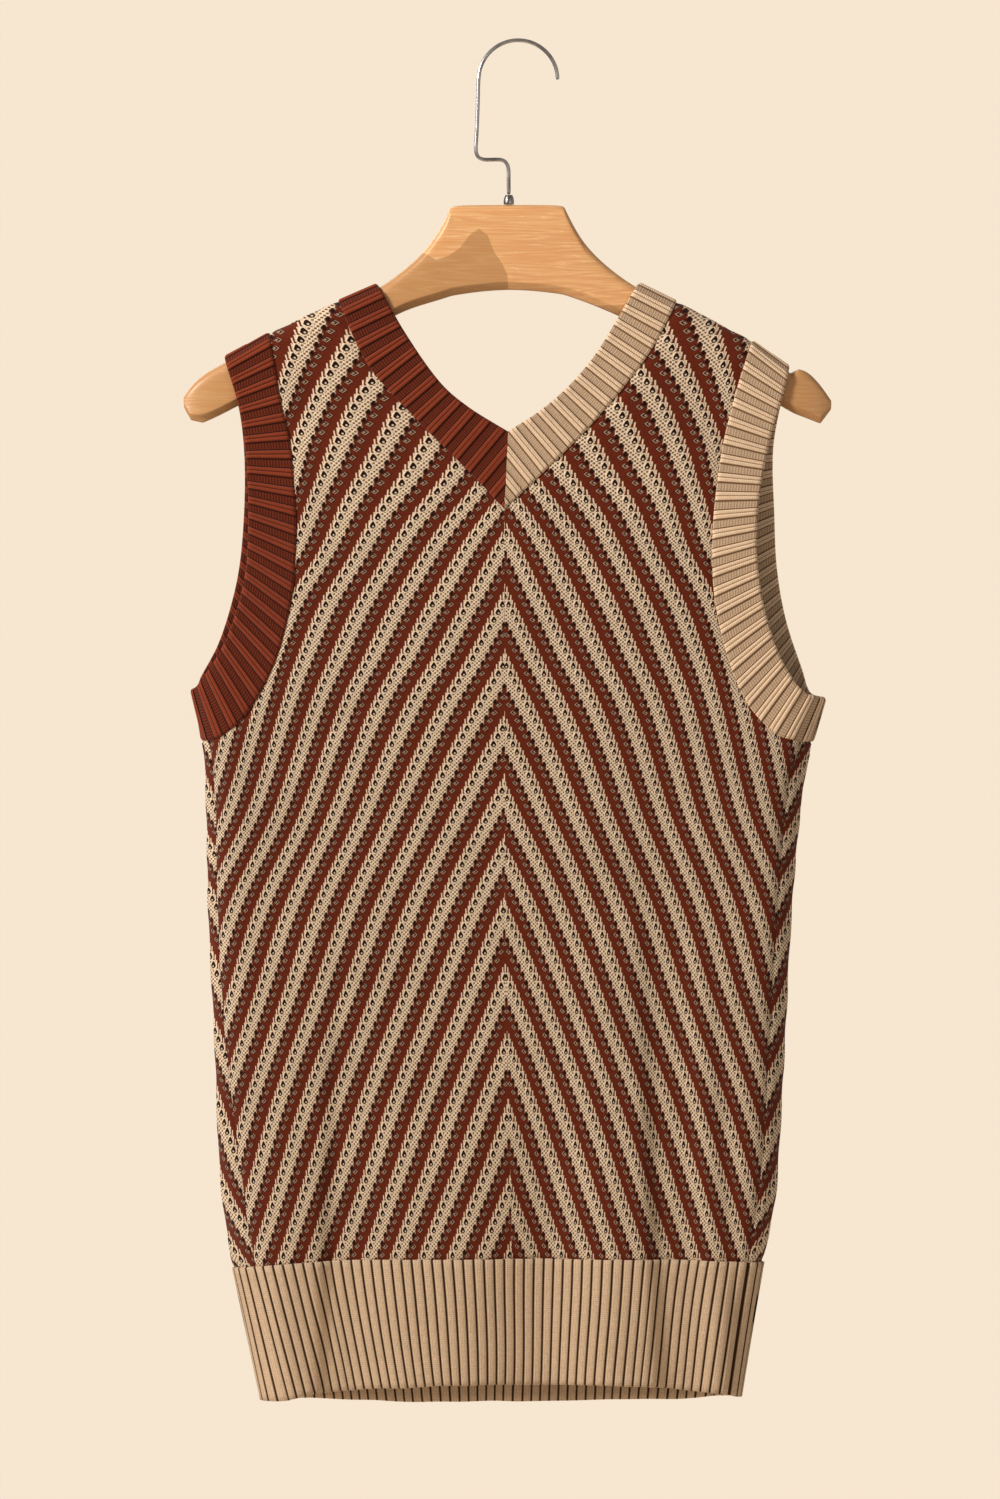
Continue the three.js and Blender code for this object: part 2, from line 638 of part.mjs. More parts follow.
// the bent wire: up from the ferrule, cranked to the left, up and over in a wide bow
function hookCurve() {
  const points = [];
  const add = (x, z) => points.push(new THREE.Vector3(x, 0, z));
  add(SHANK.x, SHANK.foot);
  add(SHANK.x - 0.1, (SHANK.foot + SHANK.crank) / 2 - 3);
  add(SHANK.x - 0.3, SHANK.crank - CRANK_ROUND);
  add(SHANK.x - 1.8, SHANK.crank - 0.27 * CRANK_ROUND);
  add(SHANK.x - CRANK_ROUND, SHANK.crank);
  add((SHANK.x + SHANK.crankX) / 2, SHANK.crank);
  add(SHANK.crankX + CRANK_ROUND, SHANK.crank);
  add(SHANK.crankX + 0.27 * CRANK_ROUND, SHANK.crank + 0.27 * CRANK_ROUND);
  add(SHANK.crankX, SHANK.crank + CRANK_ROUND);
  add(SHANK.crankX + 0.5, SHANK.crank + 0.34 * (HOOK_CENTRE.z - SHANK.crank));
  add(SHANK.upperX - 0.5, SHANK.crank + 0.67 * (HOOK_CENTRE.z - SHANK.crank));
  for (let turned = 180; turned >= 0; turned -= 15) {
    const a = THREE.MathUtils.degToRad(turned);
    add(HOOK_CENTRE.x + HOOK_RADIUS * Math.cos(a), HOOK_CENTRE.z + HOOK_RADIUS * Math.sin(a));
  }
  return new THREE.CatmullRomCurve3(points, false, 'centripetal');
}

function wireGeometry() {
  const round = [];
  for (let i = 0; i < 8; i += 1) {
    const a = (i * Math.PI) / 4;
    round.push(new THREE.Vector2(WIRE_RADIUS * Math.cos(a), WIRE_RADIUS * Math.sin(a)));
  }
  const section = new THREE.Shape(round);
  return new THREE.ExtrudeGeometry(section, {
    steps: WIRE_STEPS,
    bevelEnabled: false,
    extrudePath: hookCurve(),
  });
}

function ferruleGeometry() {
  const { radius, neck, collar, top, foot } = FERRULE;
  const profile = [
    new THREE.Vector2(0, foot),
    new THREE.Vector2(radius, foot),
    new THREE.Vector2(radius, foot + collar),
    new THREE.Vector2(neck, top),
    new THREE.Vector2(0, top),
  ];
  const geometry = new THREE.LatheGeometry(profile, 14);
  geometry.rotateX(Math.PI / 2);
  return geometry;
}

// The whole object
const rust = { color: 0x6b3018, roughness: 0.92, metalness: 0 };
const sand = { color: 0xb9a37e, roughness: 0.92, metalness: 0 };
const knit = { color: 0x97714e, roughness: 0.94, metalness: 0 };
const wood = { color: 0xdcaa6e, roughness: 0.5, metalness: 0 };
const steel = { color: 0xb4b4b6, roughness: 0.28, metalness: 1 };

const vest = new THREE.Group();

function place(name, geometry, look) {
  geometry.translate(SHANK_X, 0, 0);
  const mesh = new THREE.Mesh(geometry, new THREE.MeshStandardMaterial(look));
  mesh.name = name;
  vest.add(mesh);
}

for (const side of ['front', 'back']) {
  const panel = panelSheet(side);
  place(`${side}_panel`, wall(panel), knit);

  const welt = panel.seams.welt;
  const foot = weltFoot(side, welt).map(lift);
  let length = 0;
  for (let i = 1; i < welt.length; i += 1) length += welt[i].point.distanceTo(welt[i - 1].point);
  const weltRibs = Math.round(length / WELT_RIB.pitch);
  const strip = ribbedStrip(welt, foot, weltRibs, GROOVED, WELT_RIB.rise);
  place(`hem_rib_${side}`, wall(strip), sand);

  for (const hand of ['left', 'right']) {
    const look = hand === 'left' ? rust : sand;
    const neckEdge = neckPlaces(hand, side).edge.map(lift);
    const neckRibs = NECK_SPANS * BAND_RIB.perSpan;
    const neck = ribbedStrip(panel.seams.neck[hand], neckEdge, neckRibs, BANDED, BAND_RIB.rise);
    place(`neckband_${hand}_${side}`, wall(neck), look);
    const armEdge = armholePlaces(hand, side).edge.map(lift);
    const armRibs = ARM_SPANS * BAND_RIB.perSpan;
    const arm = ribbedStrip(panel.seams.arm[hand], armEdge, armRibs, BANDED, BAND_RIB.rise);
    place(`armband_${hand}_${side}`, wall(arm), look);
  }
}

place('hanger_body', loft(WOOD.map(woodRing)), wood);
place('hanger_ferrule', ferruleGeometry().translate(SHANK.x, 0, 0), steel);
place('hanger_hook', wireGeometry(), steel);

export default vest;
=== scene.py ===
"""The dressed model of a knitted V-neck vest that hangs on a wooden hanger.

Sizes are millimetres in the hanger's own frame: x from the shank, z from the inside top of the
hook, the front of the vest towards -Y. Meshes are made in metres, moved so that the inside top
of the hook is the origin. Left and right are as seen from the front.
"""
import logging
import math
from dataclasses import dataclass, field
from enum import Enum
from functools import cache

import bpy
import numpy as np
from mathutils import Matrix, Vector


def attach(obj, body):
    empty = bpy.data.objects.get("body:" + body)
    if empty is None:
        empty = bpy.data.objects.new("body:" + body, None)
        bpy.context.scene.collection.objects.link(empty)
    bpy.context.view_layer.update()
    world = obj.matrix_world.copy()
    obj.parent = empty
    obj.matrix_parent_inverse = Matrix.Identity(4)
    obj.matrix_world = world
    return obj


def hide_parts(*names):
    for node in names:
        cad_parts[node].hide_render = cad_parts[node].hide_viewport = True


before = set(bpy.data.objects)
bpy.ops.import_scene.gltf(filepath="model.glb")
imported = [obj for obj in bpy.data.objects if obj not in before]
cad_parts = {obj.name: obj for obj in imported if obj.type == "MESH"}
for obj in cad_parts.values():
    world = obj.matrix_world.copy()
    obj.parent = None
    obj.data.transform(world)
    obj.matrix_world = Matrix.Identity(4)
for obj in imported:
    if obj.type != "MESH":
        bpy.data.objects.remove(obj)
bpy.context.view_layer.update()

LOG = logging.getLogger("vest")

MM = 0.001
SHANK_X = -6.3
CLOTH = 2.0
SEAM_GAP = 0.3
# how far the middle of a cloth edge bulges out past its two faces
EDGE_ROUND = 0.55
# keeps the seam's gap from growing at the sharp corners of a sheet
CORNER_LEAST = 0.7
STITCH = "stitch"


class Side(Enum):
    """The two sheets of the hanging vest."""

    FRONT = -1
    BACK = 1

    @property
    def word(self) -> str:
        """The side's name in the frame's nodes."""
        return self.name.lower()


class Hand(Enum):
    """The two halves of the vest, as seen from the front."""

    LEFT = -1
    RIGHT = 1

    @property
    def word(self) -> str:
        """The half's name in the tables and the frame's nodes."""
        return self.name.lower()


@dataclass(frozen=True)
class Chart:
    """A short table of sizes with named columns."""

    columns: tuple[str, ...]
    rows: tuple[tuple[float, ...], ...]

    def column(self, key: str) -> np.ndarray:
        """One column of the table as an array."""
        return np.array([row[self.columns.index(key)] for row in self.rows])

    def read(self, key: str, by: str, at: np.ndarray | float) -> np.ndarray:
        """Reads one column smoothly by another one that rises or falls steadily.

        Args:
            key: the column to read.
            by: the column that says where.
            at: places along `by`.

        Returns:
            The smooth values, running on straight past both ends.
        """
        where, what = self.column(by), self.column(key)
        if where[0] > where[-1]:
            where, what = where[::-1], what[::-1]
        before = np.maximum(np.arange(len(where)) - 1, 0)
        after = np.minimum(np.arange(len(where)) + 1, len(where) - 1)
        slope = (what[after] - what[before]) / (where[after] - where[before])
        at = np.asarray(at, dtype=float)
        i = np.clip(np.searchsorted(where, at) - 1, 0, len(where) - 2)
        span = where[i + 1] - where[i]
        t = np.clip((at - where[i]) / span, 0, 1)
        blend = t * t * (3 - 2 * t)
        bend = t * (1 - t) ** 2 * slope[i] * span + t * t * (t - 1) * slope[i + 1] * span
        inside = what[i] * (1 - blend) + what[i + 1] * blend + bend
        below = np.minimum(at - where[0], 0) * slope[0]
        above = np.maximum(at - where[-1], 0) * slope[-1]
        return inside + below + above


def ease(t: np.ndarray) -> np.ndarray:
    """A smooth step from 0 to 1.

    Args:
        t: shares, which may lie past 0 and 1.

    Returns:
        The eased shares.
    """
    t = np.clip(t, 0, 1)
    return t * t * (3 - 2 * t)


def turned(d: np.ndarray) -> np.ndarray:
    """How much of its full squared depth the cloth has near a fold.

    Args:
        d: distances from the fold, 1 where the cloth is at its full depth.

    Returns:
        The shares of the squared depth.
    """
    return np.where(d >= 1, 1, d * (2 - d))


def run_of(points: np.ndarray) -> np.ndarray:
    """How far along a line each of its points lies.

    Args:
        points: one row for each point.

    Returns:
        The distances from the first point.
    """
    return np.concatenate([[0], np.cumsum(np.linalg.norm(np.diff(points, axis=0), axis=-1))])


@dataclass
class Places:
    """Places on the hanging cloth: which sheet each one lies on, and where it is seen."""

    sheet: np.ndarray
    x: np.ndarray
    z: np.ndarray

    def part(self, index: np.ndarray | slice) -> "Places":
        """Some of the places."""
        return Places(self.sheet[index], self.x[index], self.z[index])


def chain(*runs: Places) -> Places:
    """Joins several runs of places, one after another.

    Args:
        runs: the runs in their order.

    Returns:
        All the places.
    """
    return Places(
        np.concatenate([run.sheet for run in runs]),
        np.concatenate([run.x for run in runs]),
        np.concatenate([run.z for run in runs]),
    )


# a row of a table of folds: the sheet, then six sizes that the table names
FoldRow = tuple[Side, float, float, float, float, float, float]


@dataclass(frozen=True)
class HangingForm:
    """The form of the whole hanging vest: its depth, folds, outline and seams."""

    shoulder_round: float = 10.5
    side_round: float = 25.0
    fold_top: float = -424.0
    # the dressed cloth's folds are this much deeper than the solids'
    fold_gain: float = 1.7
    depth: Chart = Chart(
        ("z", "front", "back"),
        (
            (-150, 10.5, 10.5),
            (-215, 11.5, 11.2),
            (-300, 14.0, 12.5),
            (-440, 17.5, 14.5),
            (-640, 19.0, 15.5),
            (-800, 20.0, 16.5),
            (-890, 20.5, 17.0),
        ),
    )
    # soft upright folds: sheet, where they meet the hem line, lean, width, rise, and the
    # heights where they start and are full
    folds: tuple[FoldRow, ...] = (
        (Side.FRONT, -143, 0.02, 22, 3.4, -520, -850),
        (Side.FRONT, -104, 0.02, 16, -2.2, -560, -860),
        (Side.FRONT, -22, 0.01, 26, 2.4, -600, -860),
        (Side.FRONT, 28, -0.01, 16, -2.2, -620, -850),
        (Side.FRONT, 70, -0.03, 22, 3.0, -430, -840),
        (Side.FRONT, 112, -0.03, 15, -2.6, -460, -850),
        (Side.BACK, -96, 0.03, 24, 3.0, -470, -850),
        (Side.BACK, -40, 0.01, 20, -2.2, -560, -860),
        (Side.BACK, 30, 0.00, 28, 2.6, -600, -840),
        (Side.BACK, 98, -0.03, 20, -2.4, -500, -850),
    )
    # smaller creases than the solids have: the same columns
    creases: tuple[FoldRow, ...] = (
        (Side.FRONT, -124, 0.03, 7, 0.9, -540, -780),
        (Side.FRONT, -116, 0.03, 6, -1.3, -540, -780),
        (Side.FRONT, -68, 0.01, 12, 0.8, -600, -820),
        (Side.FRONT, -50, 0.01, 22, 1.6, -700, -850),
        (Side.FRONT, 10, 0.00, 24, -2.3, -640, -840),
        (Side.FRONT, 88, -0.04, 8, 1.2, -480, -780),
        (Side.FRONT, 99, -0.04, 7, -1.5, -470, -780),
        (Side.FRONT, 132, -0.05, 9, 1.0, -440, -760),
        (Side.FRONT, 146, -0.06, 6, -0.9, -480, -800),
        (Side.BACK, -118, 0.04, 9, -1.1, -520, -800),
        (Side.BACK, -66, 0.02, 8, 1.2, -500, -780),
        (Side.BACK, 4, 0.00, 9, -1.2, -560, -820),
        (Side.BACK, 66, -0.02, 10, 1.0, -480, -800),
        (Side.BACK, 122, -0.04, 7, -1.2, -560, -820),
    )
    # slanting strain creases: side, centre x and z, direction in degrees, half length, width, rise
    strains: tuple[FoldRow, ...] = (
        (Side.FRONT, -128, -470, 38, 46, 9, 1.3),
        (Side.FRONT, -116, -452, 40, 40, 7, -1.1),
        (Side.FRONT, 118, -462, 140, 50, 9, 1.4),
        (Side.FRONT, 128, -486, 134, 40, 7, -1.2),
        (Side.FRONT, -22, -332, 62, 34, 8, 0.8),
        (Side.FRONT, 22, -340, 118, 30, 8, 0.8),
        (Side.FRONT, -136, -246, 70, 36, 8, -0.9),
        (Side.FRONT, 134, -250, 108, 38, 8, -0.9),
        (Side.BACK, -122, -476, 38, 48, 10, 1.3),
        (Side.BACK, 112, -470, 142, 44, 9, 1.4),
        (Side.BACK, 60, -400, 120, 40, 12, 0.9),
        (Side.BACK, -58, -386, 64, 42, 12, 0.9),
    )
    shoulder: Chart = Chart(
        ("x", "z"),
        (
            (-184.9, -205.4),
            (-155.7, -189.8),
            (-110.8, -169.0),
            (-85.5, -158.0),
            (84.8, -157.3),
            (109.5, -169.3),
            (158.6, -195.0),
            (183.0, -211.9),
        ),
    )
    body: Chart = Chart(
        ("z", "left_fold", "left_seam", "centre", "right_seam", "right_fold"),
        (
            (-422.0, -207.0, -203.0, -2.4, 203.0, 208.0),
            (-456.3, -199.6, -195.3, -2.3, 190.4, 197.8),
            (-487.5, -197.3, -191.4, -2.3, 181.7, 191.8),
            (-565.5, -195.7, -189.5, -2.3, 175.2, 185.2),
            (-643.5, -192.1, -184.9, -1.0, 170.0, 180.4),
            (-721.5, -189.2, -175.8, 1.0, 165.4, 176.5),
            (-754.0, -186.6, -171.3, 1.6, 162.2, 173.9),
            (-790.0, -181.0, -165.6, 2.0, 156.4, 166.8),
            (-825.5, -172.9, -157.0, 2.0, 152.8, 159.6),
            (-851.5, -167.7, -149.0, 2.0, 149.4, 155.7),
            (-885.0, -160.6, -141.0, 2.0, 141.5, 150.3),
        ),
    )
    # the neck, down from the shoulder line to the V: seam, and free edge of the band
    neck_left: Chart = Chart(
        ("seam_x", "seam_z", "edge_x", "edge_z"),
        (
            (-110.8, -169.0, -85.5, -158.0),
            (-91.3, -210.6, -67.3, -190.5),
            (-60.1, -246.0, -43.2, -224.2),
            (-25.0, -281.0, -26.3, -238.6),
            (-2.6, -304.5, -0.3, -254.8),
        ),
    )
    neck_right: Chart = Chart(
        ("seam_x", "seam_z", "edge_x", "edge_z"),
        (
            (109.5, -169.3, 84.8, -157.3),
            (92.0, -202.2, 58.2, -202.2),
            (54.9, -248.3, 41.3, -223.0),
            (22.4, -280.8, 22.4, -239.8),
            (-2.6, -304.5, -0.3, -254.8),
        ),
    )
    # the armholes, down from the shoulder line: the back's lie further out by `back_out`
    arm_left: Chart = Chart(
        ("seam_x", "seam_z", "edge_x", "edge_z", "back_out"),
        (
            (-155.7, -189.8, -184.9, -205.4, 0.0),
            (-149.5, -228.0, -175.8, -235.0, -0.6),
            (-141.7, -264.6, -170.6, -266.5, -1.8),
            (-138.1, -316.9, -168.7, -313.3, -4.2),
            (-140.7, -360.4, -171.3, -351.0, -6.0),
            (-152.1, -405.6, -183.6, -390.7, -5.4),
            (-173.2, -441.4, -197.9, -413.4, -3.0),
            (-186.9, -452.1, -202.6, -419.6, -1.0),
        ),
    )
    arm_right: Chart = Chart(
        ("seam_x", "seam_z", "edge_x", "edge_z", "back_out"),
        (
            (158.6, -195.0, 183.0, -211.9, 0.0),
            (149.8, -223.0, 178.0, -231.0, 0.6),
            (139.6, -263.0, 168.8, -263.5, 4.0),
            (133.2, -313.3, 161.5, -307.4, 12.0),
            (133.2, -354.9, 161.8, -343.2, 13.5),
            (140.7, -395.2, 167.7, -376.4, 13.5),
            (155.7, -431.6, 179.6, -407.6, 12.0),
            (175.0, -451.5, 193.0, -424.5, 5.0),
        ),
    )
    # underarm corners on the side seam, and the height where the band meets the side fold
    under_left: tuple[float, ...] = (-195.3, -455.0, -205.0, -422.0, -421.6)
    under_right: tuple[float, ...] = (190.4, -455.8, 202.6, -427.0, -427.4)
    seam_out: float = 0.6
    welt_z: float = -791.8
    welt_drop: tuple[float, float] = (5.4, 3.2)
    welt_reach: float = 170.0
    foot_front: float = -872.6
    foot_back: float = -887.5
    foot_front_drop: tuple[float, float] = (12.2, 8.4)
    foot_back_drop: tuple[float, float] = (-3.0, -6.4)
    foot_reach: float = 156.0
    corner_z: tuple[float, float] = (-882.0, -879.0)
    # about how far out the side seams meet the hem rib
    seam_at: float = 160.0
    # half the stretch over which the cloth's slope is measured
    probe: float = 0.4

    def shoulder_z(self, x: np.ndarray) -> np.ndarray:
        """Height of the shoulder line, straight between its rows and running on past them.

        Args:
            x: places across.

        Returns:
            The heights.
        """
        x = np.asarray(x, dtype=float)
        xs, zs = self.shoulder.column("x"), self.shoulder.column("z")
        left = np.clip(np.searchsorted(xs[:4], x) - 1, 0, 2)
        right = 4 + np.clip(np.searchsorted(xs[4:], x) - 1, 0, 2)
        i = np.where(x < 0, left, right)
        return zs[i] + (zs[i + 1] - zs[i]) * (x - xs[i]) / (xs[i + 1] - xs[i])

    def side_x(self, hand: Hand, line: str, z: np.ndarray | float) -> np.ndarray:
        """Where a side's "fold" or "seam" runs at some heights."""
        return self.body.read(f"{hand.word}_{line}", "z", z)

    def near_x(self, left: np.ndarray, line: str, z: np.ndarray) -> np.ndarray:
        """Where the fold or seam runs on each place's own side, left or right."""
        return np.where(left, *[self.side_x(hand, line, z) for hand in Hand])

    def fold_x(self, hand: Hand, z: np.ndarray) -> np.ndarray:
        """Where a side fold is seen at some heights."""
        return self.side_x(hand, "fold", np.minimum(z, self.fold_top))

    def seam_foot(self, hand: Hand) -> float:
        """Where a side seam meets the hem rib."""
        return float(self.side_x(hand, "seam", self.seam_height(self.seam_at)))

    def depth_squared(self, sheet: np.ndarray, x: np.ndarray, z: np.ndarray) -> np.ndarray:
        """Squared half depth of the cloth's outer face at places seen from the front.

        Args:
            sheet: -1 for the front sheet, 1 for the back one.
            x: places across.
            z: heights.

        Returns:
            The squared distance from the middle plane, under 0 past the outline.
        """
        front = self.depth.read("front", "z", z)
        half = np.where(sheet < 0, front, self.depth.read("back", "z", z))
        for side, at, lean, width, rise, top, full in (*self.folds, *self.creases):
            grown = ease((top - z) / (top - full)) * (sheet == side.value) * self.fold_gain
            half = half + rise * grown * np.exp(-(((x - at - lean * (z + 792)) / width) ** 2))
        for side, at, height, degrees, reach, width, rise in self.strains:
            c, s = math.cos(math.radians(degrees)), math.sin(math.radians(degrees))
            along, across = (x - at) * c + (z - height) * s, (z - height) * c - (x - at) * s
            swell = np.exp(-((along / reach) ** 2) - (across / width) ** 2)
            half = half + rise * swell * (sheet == side.value)
        level = np.minimum(z, self.fold_top)
        in_left = x - self.side_x(Hand.LEFT, "fold", level)
        in_right = self.side_x(Hand.RIGHT, "fold", level) - x
        below = turned((self.shoulder_z(x) - z) / self.shoulder_round)
        return half * half * below * turned(np.minimum(in_left, in_right) / self.side_round)

    def lift(self, places: Places) -> tuple[np.ndarray, np.ndarray]:
        """The cloth's outer points and outward directions at some places.

        Args:
            places: where on the cloth.

        Returns:
            Points and unit normals, both in millimetres, one row each.
        """
        s, x, z = places.sheet, places.x, places.z
        e = self.probe
        y = s * np.sqrt(np.maximum(0, self.depth_squared(s, x, z)))
        dx = (self.depth_squared(s, x + e, z) - self.depth_squared(s, x - e, z)) / (2 * e)
        dz = (self.depth_squared(s, x, z + e) - self.depth_squared(s, x, z - e)) / (2 * e)
        normal = np.stack([-dx, 2 * y, -dz], axis=-1)
        length = np.linalg.norm(normal, axis=-1, keepdims=True)
        return np.stack([x, y, z], axis=-1), normal / np.maximum(length, 1e-9)

    def evenly(self, path: Places, count: int) -> Places:
        """Places at even distances along a path over the cloth.

        Args:
            path: a densely sampled path.
            count: how many places to return.

        Returns:
            The evenly spaced places, ends included.
        """
        reach = run_of(self.lift(path)[0])
        want = np.linspace(0, reach[-1], count)
        nearest = np.clip(np.searchsorted(reach, want), 0, len(reach) - 1)
        x, z = np.interp(want, reach, path.x), np.interp(want, reach, path.z)
        return Places(path.sheet[nearest], x, z)

    def seam_height(self, x: np.ndarray) -> np.ndarray:
        """Height of the seam between body and hem rib."""
        drop = np.where(np.asarray(x) < 0, *self.welt_drop)
        return self.welt_z - drop * (np.asarray(x) / self.welt_reach) ** 4

    def foot_height(self, side: Side, x: np.ndarray) -> np.ndarray:
        """Height of the hem rib's lower edge.

        Args:
            side: the front or the back hem rib.
            x: places across.

        Returns:
            The heights.
        """
        front = side is Side.FRONT
        drop = np.where(x < 0, *(self.foot_front_drop if front else self.foot_back_drop))
        level = self.foot_front if front else self.foot_back
        return level - drop * np.abs(x / self.foot_reach) ** 3


def smooth_path(x: np.ndarray, z: np.ndarray, samples: int = 48) -> tuple[np.ndarray, np.ndarray]:
    """A centripetal curve through some points, seen from the front.

    Args:
        x: places across.
        z: heights.
        samples: how many steps between two points.

    Returns:
        x and z of the densely sampled curve.
    """
    p = np.stack([x, z], axis=-1).astype(float)
    p = np.concatenate([[2 * p[0] - p[1]], p, [2 * p[-1] - p[-2]]])
    knots = np.concatenate([[0], np.cumsum(np.linalg.norm(np.diff(p, axis=0), axis=-1) ** 0.5)])
    out = []
    for i in range(1, len(p) - 2):
        t0, t1, t2, t3 = knots[i - 1 : i + 3]
        t = np.linspace(t1, t2, samples, endpoint=i == len(p) - 3)[:, None]
        a1 = (t1 - t) / (t1 - t0) * p[i - 1] + (t - t0) / (t1 - t0) * p[i]
        a2 = (t2 - t) / (t2 - t1) * p[i] + (t - t1) / (t2 - t1) * p[i + 1]
        a3 = (t3 - t) / (t3 - t2) * p[i + 1] + (t - t2) / (t3 - t2) * p[i + 2]
        b1 = (t2 - t) / (t2 - t0) * a1 + (t - t0) / (t2 - t0) * a2
        b2 = (t3 - t) / (t3 - t1) * a2 + (t - t1) / (t3 - t1) * a3
        out.append((t2 - t) / (t2 - t1) * b1 + (t - t1) / (t2 - t1) * b2)
    line = np.concatenate(out)
    return line[:, 0], line[:, 1]


@dataclass(frozen=True)
class Seams:
    """The vest's seams and free edges, as densely sampled paths over the cloth."""

    form: HangingForm
    # samples of a path, how they crowd at the shoulder line, samples round a side fold, and how
    # many of a back path's first ones those take up
    samples: int = 1500
    crowding: float = 2.2
    turn: int = 80
    taken: int = 12

    def _path(self, side: Side, x: np.ndarray, z: np.ndarray) -> Places:
        """A smooth path, with fine steps where it reaches the shoulder line.

        Args:
            side: the sheet on which it runs.
            x: places across, from below up to the shoulder line.
            z: their heights.

        Returns:
            The densely sampled path.
        """
        px, pz = smooth_path(x, z)
        reach = run_of(np.stack([px, pz], axis=-1))
        t = np.linspace(0, 1, self.samples)
        want = reach[-1] * (1 - (1 - t) ** self.crowding)
        qx, qz = np.interp(want, reach, px), np.interp(want, reach, pz)
        qz[-1] = self.form.shoulder_z(qx[-1])
        return Places(np.full(qx.shape, side.value), qx, qz)

    def neck(self, hand: Hand, side: Side, which: str) -> Places:
        """One half of the neck's seam or free edge, from the V up to the shoulder line.

        Args:
            hand: left or right half.
            side: front or back of the vest.
            which: "seam" or "edge".

        Returns:
            The path.
        """
        chart = self.form.neck_left if hand is Hand.LEFT else self.form.neck_right
        x, z = chart.column(f"{which}_x")[::-1], chart.column(f"{which}_z")[::-1]
        return self._path(side, x, z)

    def arm(self, hand: Hand, side: Side, which: str) -> Places:
        """One side of an armhole's seam or free edge, from underneath up to the shoulder line.

        Args:
            hand: left or right armhole.
            side: front or back of the vest.
            which: "seam" or "edge".

        Returns:
            The path. The back's starts on the front sheet and turns round the side fold.
        """
        left = hand is Hand.LEFT
        chart = self.form.arm_left if left else self.form.arm_right
        under = self.form.under_left if left else self.form.under_right
        corner = under[0:2] if which == "seam" else under[2:4]
        x, z = chart.column(f"{which}_x")[::-1], chart.column(f"{which}_z")[::-1]
        if side is Side.FRONT:
            return self._path(side, np.insert(x, 0, corner[0]), np.insert(z, 0, corner[1]))
        share = self.form.seam_out if which == "seam" else 1
        x = x + share * chart.column("back_out")[::-1]
        fold_z = under[1] if which == "seam" else under[4]
        fold_x = float(self.form.fold_x(hand, fold_z))
        behind = self._path(side, np.insert(x, 0, fold_x), np.insert(z, 0, fold_z))
        t = 1 - (1 - np.linspace(0, 1, self.turn)) ** 2
        x0, z0 = corner
        ahead = Places(np.full(self.turn, -1), x0 + (fold_x - x0) * t, z0 + (fold_z - z0) * t)
        slow = np.linspace(0, 1, self.turn) ** 2
        first = behind.part(slice(0, self.taken))
        mark = np.linspace(0, 1, self.taken)
        xs, zs = np.interp(slow, mark, first.x), np.interp(slow, mark, first.z)
        start = Places(np.full(self.turn, 1), xs, zs)
        return chain(ahead, start, behind.part(slice(self.taken, None)))


